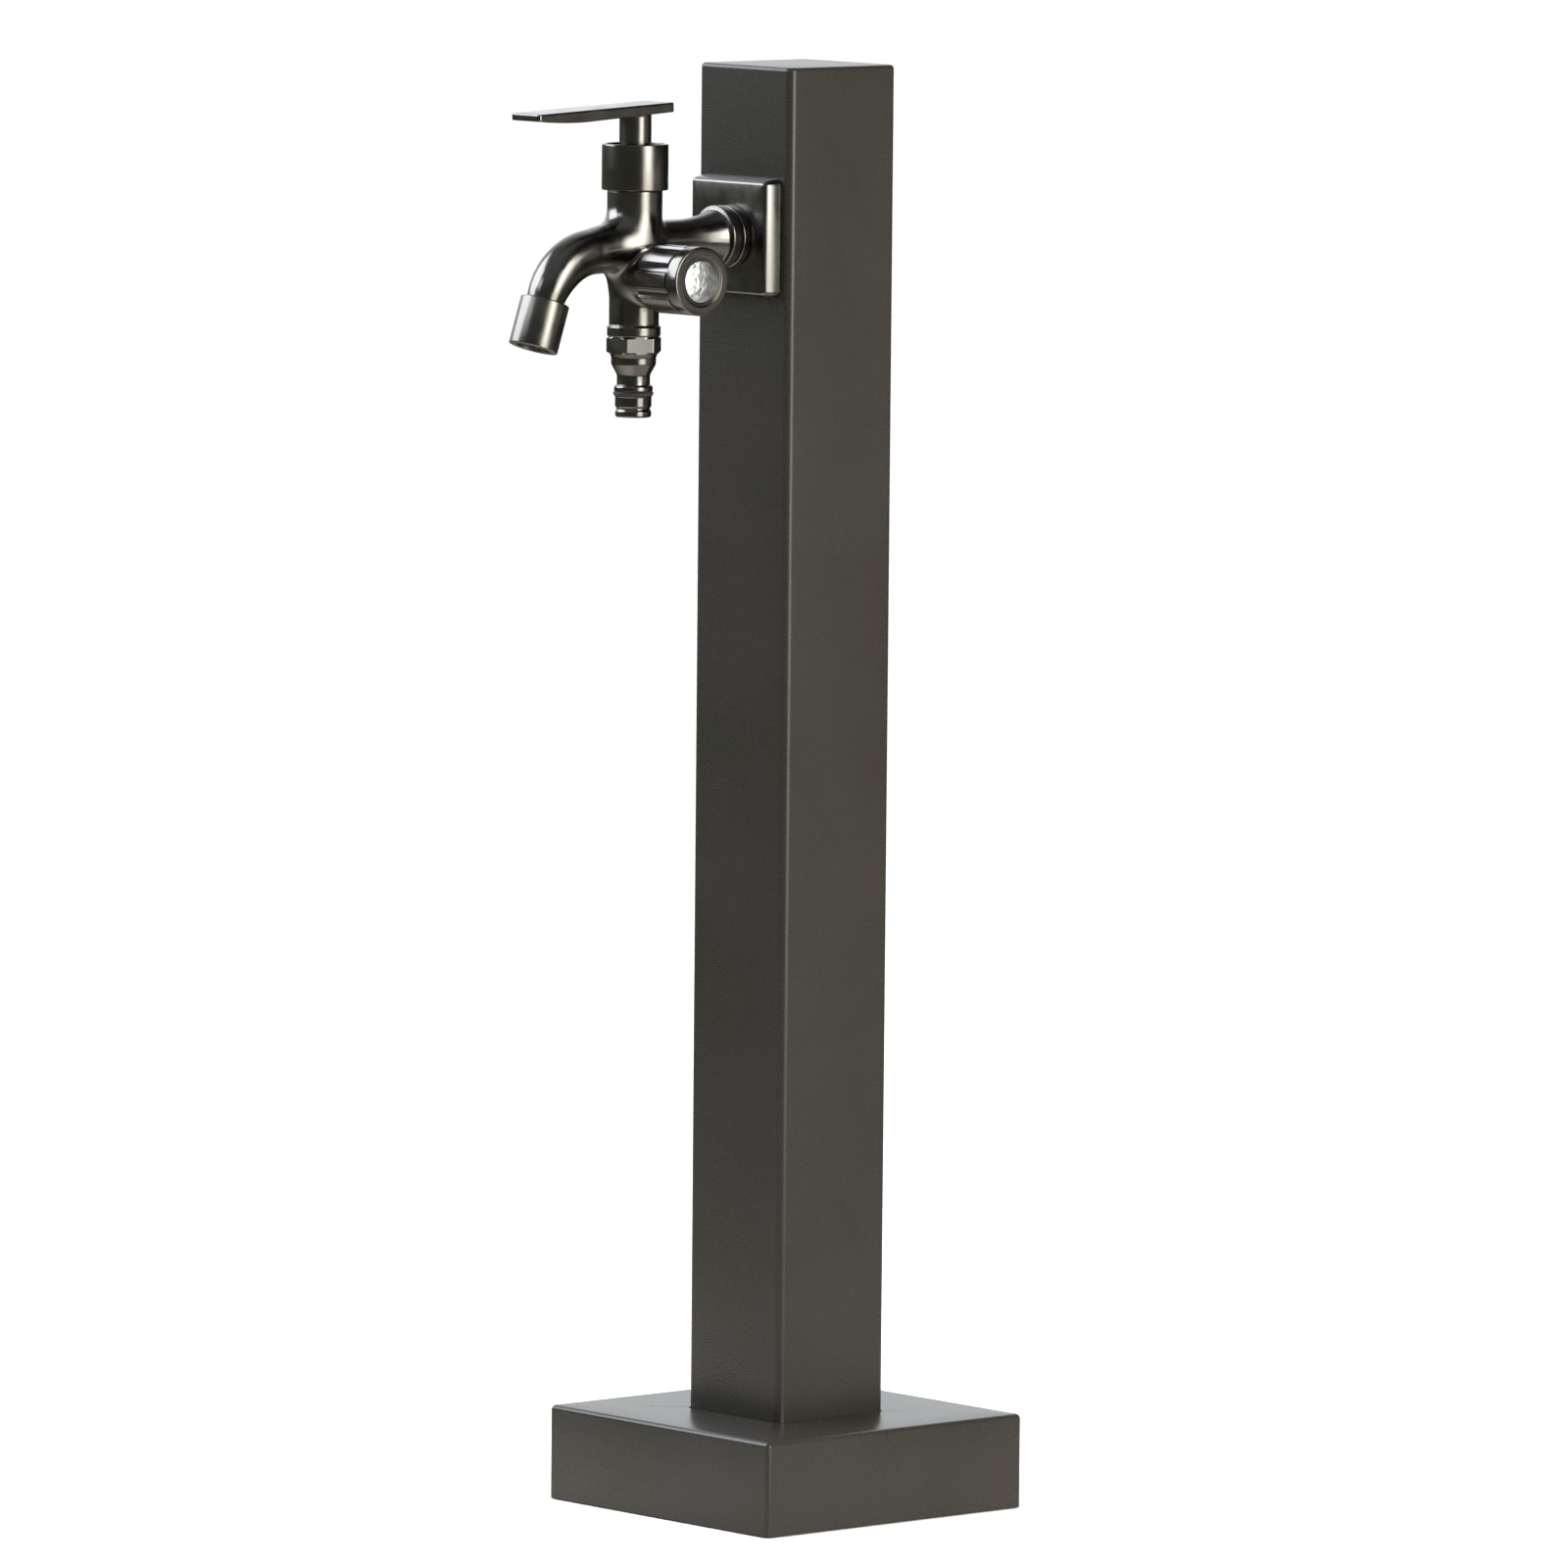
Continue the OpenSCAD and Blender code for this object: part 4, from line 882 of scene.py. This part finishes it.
def along_spout(y, z):
    root = (y - BEND_START[0]) * math.cos(DIP) + (z - BEND_START[1]) * math.sin(DIP)
    off_root = -(y - BEND_START[0]) * math.sin(DIP) + (z - BEND_START[1]) * math.cos(DIP)
    tip = (-(y - SPOUT_END[0]) * math.cos(SPOUT_SLOPE)
           - (z - SPOUT_END[1]) * math.sin(SPOUT_SLOPE))
    off_tip = (-(y - SPOUT_END[0]) * math.sin(SPOUT_SLOPE)
               + (z - SPOUT_END[1]) * math.cos(SPOUT_SLOPE))
    slope = np.arctan2(BEND_Y - y, z - BEND_Z)
    bent = np.clip((slope - DIP) / (SPOUT_SLOPE - DIP), 0, 1)
    on_arc = (slope > 0.5 * DIP) & (slope < SPOUT_SLOPE + 0.1)
    off_bend = np.where(on_arc, np.hypot(y - BEND_Y, z - BEND_Z) - BEND_R, BEYOND)
    on_root = (root > 0) & (z > BEND_Z)
    on_tip = (tip > 0) & (y < BEND_Y)
    off = np.where(on_root, off_root, np.where(on_tip, off_tip, off_bend))
    return off, np.where(on_root, root, 0), np.where(on_tip, tip, 0), bent


print("the root is", round(ROOT_L, 1), "mm long")

# %% [markdown]
# ## The tap's body
# The body joins a wide root of the spout, an arm that flares to its collar, a boss for the
# side valve and the ring above the nipple. The fillets differ: wide at the spout, where the
# metal must flow, and narrow at the arm and the boss. The neck's rim and the collar stay
# crisp, because they are faced on a lathe after casting. The core swells from 24.6 mm below
# the side valve to 27.2 mm at the neck.

# %% Outer form of the casting
CORE_R, CORE_SWELL, SWELL_START, SWELL_H = 12.3, 1.3, SIDE_Z - 12, 13
ARM_R, ARM_FLARE, FLARE_L = 9.6, 3.9, 24
COLLAR_R, COLLAR_L = 15.7, 6
SPOUT_R, SPOUT_SWELL, ROOT_SWELL, SPOUT_THREAD_L = 9.2, 2.0, 2.2, 9
BOSS_R, BOSS_L = 13.2, 18.7
RING_R, THREAD_R = 13.2, 10.4


def cast_form(p):
    x, y, z = p.T
    around = np.hypot(x, y - STEM_Y)
    lift = np.clip((z - SWELL_START) / SWELL_H, 0, 1)
    core_r = CORE_R + CORE_SWELL * lift * lift * (3 - 2 * lift)
    core = rim(around - core_r, between(z, FOOT_Z, NECK_TOP_Z), 0.5)
    back = TAIL_END_Y - y
    arm_r = ARM_R + ARM_FLARE * (1 - np.clip((back - COLLAR_L) / FLARE_L, 0, 1)) ** 2
    line = np.hypot(x, z - INLET_Z)
    arm = rim(line - arm_r, between(back, 0.5, TAIL_END_Y - STEM_Y), 0.2)
    collar = rim(line - COLLAR_R, between(back, 0, COLLAR_L), 0.8)
    off, root, tip, bent = along_spout(y, z)
    spout_r = (SPOUT_R + SPOUT_SWELL * (1 - bent ** 3)
               + ROOT_SWELL * np.clip(root / ROOT_L, 0, 1))
    spout = rim(np.hypot(x, off) - spout_r, np.maximum(tip - SPOUT_THREAD_L, root - ROOT_L), 0.3)
    boss = rim(np.hypot(y - STEM_Y, z - SIDE_Z) - BOSS_R, between(x, 0, BOSS_L), 0.6)
    ring = rim(around - RING_R, between(z, RING_Z, FOOT_Z), 0.5)
    thread = rim(around - THREAD_R, between(z, RING_Z - 7, RING_Z + 1), 0.5)
    form = blend(core, spout, np.interp(z, [634, 643], [9.0, 7.5]))
    for other, fillet in ((blend(arm, collar, 1.2), 5.0), (boss, 3.0), (ring, 0.8)):
        form = blend(form, other, fillet)
    return np.minimum(form, thread)


print("the neck is", round(2 * (CORE_R + CORE_SWELL), 1), "mm wide")

# %% [markdown]
# ## Its water ways
# Drills and boring bars then open the casting: a pocket for the tail, a chamber for each
# cartridge, and the ways that join them. They are drawn too, so a cut through the body, or
# a look into the spout, shows what is really there. The last way climbs at 45 degrees, from
# the spout's root to the upper valve's chamber.

# %% Bored form
POCKET_R, CHAMBER_R = 10.52, 9.7
INLET_WAY_R, UPPER_WAY_R, SIDE_WAY_R = 5, 4.5, 3.8
OUTLET_WAY_R, SPOUT_WAY_R, CLIMB_R = 6, 6, 3.5
SIDE_WAY_X = -7
INLET_WAY_Z = INLET_Z - 1.2


def water(p):
    x, y, z = p.T
    around = np.hypot(x, y - STEM_Y)
    line = np.hypot(x, z - INLET_Z)
    side = np.hypot(y - STEM_Y, z - SIDE_Z)
    off, root, tip, _ = along_spout(y, z)
    dy, dz = y - BEND_START[0] - 6, z - BEND_START[1]
    climb, aside = (dy + dz) / math.sqrt(2), (-dy + dz) / math.sqrt(2)
    ways = [
        (line - POCKET_R, between(y, TAIL_END_Y - 10.5, TAIL_END_Y + 2)),
        (np.hypot(x, z - INLET_WAY_Z) - INLET_WAY_R, between(y, STEM_Y - 5, TAIL_END_Y)),
        (around - UPPER_WAY_R, between(z, INLET_WAY_Z, UPPER_SEAT_Z + 1)),
        (around - CHAMBER_R, between(z, UPPER_SEAT_Z, NECK_TOP_Z + 2)),
        (np.hypot(x - SIDE_WAY_X, y - STEM_Y) - SIDE_WAY_R, between(z, SIDE_Z, INLET_WAY_Z)),
        (side - SIDE_WAY_R, between(x, SIDE_WAY_X, SIDE_SEAT_X + 1)),
        (side - CHAMBER_R, between(x, SIDE_SEAT_X, 21)),
        (around - OUTLET_WAY_R, between(z, RING_Z - 9, SIDE_Z - 8.7)),
        (np.hypot(x, off) - SPOUT_WAY_R, np.maximum(tip - 11, root - 12)),
        (np.hypot(x, aside) - CLIMB_R, between(climb, 0, 21.2)),
    ]
    return np.minimum.reduce([np.maximum(out, past) for out, past in ways])


def body_distance(p):
    return np.maximum(cast_form(p), -water(p))


body = skin_by_distance("tap_body_skin", body_distance, (-16.2, -172.2, 580.8),
                        (20.2, -46.0, 663.2), step=0.6)
seat(body, "tap_body", sharp=60)

# %% [markdown]
# ## The lever
# The lever is a flat paddle on a round boss, cast in one. Its top is level across, its
# belly swells a little past the middle and thins to the tip, and it dips by 2.6 degrees
# towards the tip. Distance gives its eased edges and the small fillet round the boss. The
# boss has a socket for the spindle and a hole for the grub screw.

# %% Lever
LEVER_TOP_Z = 703.8
LEVER_DIP = math.radians(2.6)
PADDLE_MID, PADDLE_HALF_L, PADDLE_HALF_W, PADDLE_CORNER = -27.3, 43.5, 10.8, 1.6
BELLY_AT, BELLY_T = -38.6, 5.8
TIP_THINNING, TIP_L, BACK_TAPER = 2.4, 32.2, 1 / 54.8
LEVER_BOSS_R, SOCKET_R, GRUB_R, GRUB_Z = 7.9, 4.05, 2.12, 687.5


def lever_distance(p):
    x, y, z = p.T
    dy, dz = y - STEM_Y, z - LEVER_TOP_Z
    u = dy * math.cos(LEVER_DIP) + dz * math.sin(LEVER_DIP)
    w = -dy * math.sin(LEVER_DIP) + dz * math.cos(LEVER_DIP)
    past = u - BELLY_AT
    thick = np.where(past < 0, BELLY_T - TIP_THINNING * (np.minimum(past, 0) / TIP_L) ** 2,
                     BELLY_T - past * BACK_TAPER)
    plan = rim(np.abs(x) - PADDLE_HALF_W, np.abs(u - PADDLE_MID) - PADDLE_HALF_L,
               PADDLE_CORNER)
    paddle = rim(plan, between(w, -thick, 0), 0.55)
    around = np.hypot(x, dy)
    boss = rim(around - LEVER_BOSS_R, between(z, 682.8, 701.4), 0.4)
    form = blend(paddle, boss, 1.0)
    socket = np.maximum(around - SOCKET_R, between(z, 680.0, 692.3))
    grub = np.maximum(np.hypot(x, z - GRUB_Z) - GRUB_R, -dy)
    return np.maximum(form, -np.minimum(socket, grub))


lever = skin_by_distance("lever_skin", lever_distance, (-12.2, -178.0, 681.5),
                         (12.2, -87.6, 706.0), step=0.5)
seat(lever, "lever_handle", sharp=60)

# %% [markdown]
# ## Softboxes and daylight
# Outdoors the tap mirrors a bright sky above, darker hedges at eye level, and something
# pale to its right that draws one broad upright band on every turned part. Softboxes stand
# for these. On the right there are a tall wall of light, a narrow brighter core above its
# middle, and a faint low haze beside it. On the left a large one slopes high up, with a
# small one beside it. Three lights are seen by matt surfaces only: a fill for the post's
# right face, a wide box overhead and a soft sun. A softbox is told where it stands, by
# azimuth and elevation in degrees and distance in metres, then its width and height, its
# power in watts, the point it aims at and its tint.

# %% Lights
TAP = (0.0, -0.10, 0.62)
POST_LOW = (0, 0, 0.22)


def softbox(name, azimuth, elevation, distance, width, height, power, aim, tint):
    light = bpy.data.lights.new(name, "AREA")
    light.shape, light.size, light.size_y = "RECTANGLE", width, height
    light.energy, light.color = power, linear(tint)[:3]
    stand = new_object(name, light)
    a, e = math.radians(azimuth), math.radians(elevation)
    way = Vector((math.cos(a) * math.cos(e), math.sin(a) * math.cos(e), math.sin(e)))
    stand.location = Vector(aim) + way * distance
    stand.rotation_euler = way.to_track_quat("Z", "Y").to_euler()
    stand.visible_camera = False
    return stand


softbox("right_wall", 6, 4, 1.90, 1.10, 1.50, 20.0, TAP, "#fbfbf2")
softbox("right_core", 6, 16, 1.86, 0.40, 1.20, 8.5, TAP, "#fefdf4")
softbox("right_haze", 41, -4.5, 1.9, 1.25, 0.22, 0.33, TAP, "#fffaf2")
softbox("left_sky", -145, 28.5, 2.2, 1.9, 1.6, 52, TAP, "#eef4ff")
softbox("left_gap", -108, 30, 2.2, 1.30, 0.50, 5.0, TAP, "#f4f7fb")
fill = softbox("right_fill", 38, 0, 1.0, 0.80, 0.60, 9.6, POST_LOW, "#fff0ec")
overhead = softbox("overhead", -60, 78, 2.6, 2.4, 2.4, 30, TAP, "#f6f8ff")

sun = bpy.data.lights.new("daylight", "SUN")
sun.energy, sun.angle = 2.8, math.radians(70)
daylight = new_object("daylight", sun)
for matt_only in (fill, overhead, daylight):
    matt_only.visible_glossy = False
print(len(bpy.data.lights), "lights")

# %% [markdown]
# ## A plain floor and a patch of paving
# The floor is plain and pale, and no mirror sees it. What the post's sides mirror instead is
# a round patch of paving, palest near the post and lit more strongly towards the left, so
# the sides are palest low down. The patch is a glow that only mirrors see. Floor and patch
# belong to the stage, not to the object.

# %% Floor and paving
FLOOR_HALF = 60
PAVING_R = 1.6
PAVING_SIDES = 64


def stage_sheet(name, corners, depth):
    mesh = bpy.data.meshes.new(name)
    mesh.from_pydata([(x, y, 0) for x, y in corners], [], [tuple(range(len(corners)))])
    sheet = new_object(name, mesh)
    sheet.location.z = -depth
    return sheet


floor = stage_sheet("floor", [(-FLOOR_HALF, -FLOOR_HALF), (FLOOR_HALF, -FLOOR_HALF),
                              (FLOOR_HALF, FLOOR_HALF), (-FLOOR_HALF, FLOOR_HALF)], 0.0006)
floor.visible_glossy = False
paper, tree, at = start_finish("pale_floor")
mottle = noise(tree, at, scale=3.0, detail=2.0)
end_finish(tree, {"Base Color": ramp(tree, mottle, (0.0, "#efefed"), (1.0, "#f3f3f1")),
                  "Roughness": 0.9})
floor.data.materials.append(paper)

paving = stage_sheet("paving_glow", [
    (PAVING_R * math.cos(a), PAVING_R * math.sin(a))
    for a in np.linspace(0, 2 * math.pi, PAVING_SIDES, endpoint=False)], 0.0016)
paving.visible_camera = paving.visible_diffuse = paving.visible_shadow = False
lit, tree, at = start_finish("paving_glow")
away = add(tree, "ShaderNodeVectorMath", {0: at}, operation="LENGTH").outputs["Value"]
sunny = remap(tree, dot(tree, at, (-0.755, -0.656, 0)), -0.05, 0.15)
near = remap(tree, away, 0.85, 0.5)
both = add(tree, "ShaderNodeMath", {0: sunny, 1: near}, operation="MULTIPLY").outputs[0]
end_finish(tree, {
    "Color": ramp(tree, remap(tree, away, 0.0, PAVING_R), (0.4, "#d6d0c8"), (0.9, "#3c3e32")),
    "Strength": remap(tree, both, 0.0, 1.0, 1.0, 1.7)}, kind="ShaderNodeEmission")
paving.data.materials.append(lit)
print(floor.name, "and", paving.name)

# %% [markdown]
# ## The garden round it
# The world is painted by direction alone: bands of hedge and lawn that go round, an open
# bright sky behind the post, as the camera sees it, and a dark wooded side to the right of
# the view, with a paler foot. `bearing` gives a level direction with a little lift.

# %% Sky, hedges and trees
def bearing(degrees, lift):
    return (math.cos(math.radians(degrees)), math.sin(math.radians(degrees)), lift)


world = bpy.data.worlds.new("garden_sky")
bpy.context.scene.world = world
world.use_nodes = True
sky = world.node_tree
sky.nodes.clear()
way = add(sky, "ShaderNodeTexCoord").outputs["Generated"]
height = add(sky, "ShaderNodeSeparateXYZ", {0: way}).outputs["Z"]
hedges = ramp(sky, remap(sky, height, -1.0, 1.0), (0.2, "#1d1f16"), (0.44, "#5a5d4d"),
              (0.54, "#5a5c52"), (0.62, "#50524c"), (0.8, "#85898d"))
wood = ramp(sky, remap(sky, height, 0.01, 0.05), (0.0, "#5c5853"), (1.0, "#14150f"))
wooded_side = remap(sky, dot(sky, way, bearing(41, 0.3)), 0.45, 0.75)
open_side = remap(sky, dot(sky, way, bearing(139, 0.15)), 0.55, 0.95)
open_sky = add(sky, "ShaderNodeMath", {0: open_side, 1: remap(sky, height, -0.03, 0.07)},
               operation="MULTIPLY").outputs[0]
planted = add(sky, "ShaderNodeMix", {0: wooded_side, 6: hedges, 7: wood},
              data_type="RGBA").outputs[2]
whole = add(sky, "ShaderNodeMix", {0: open_sky, 6: planted, 7: linear("#e9edf0")},
            data_type="RGBA").outputs[2]
glow = add(sky, "ShaderNodeBackground", {
    "Color": whole, "Strength": remap(sky, open_sky, 0.0, 1.0, 1.0, 1.6)})
add(sky, "ShaderNodeOutputWorld", {"Surface": glow.outputs[0]})
bpy.context.scene.view_settings.view_transform = "Standard"
print(world.name, "has", len(sky.nodes), "nodes")
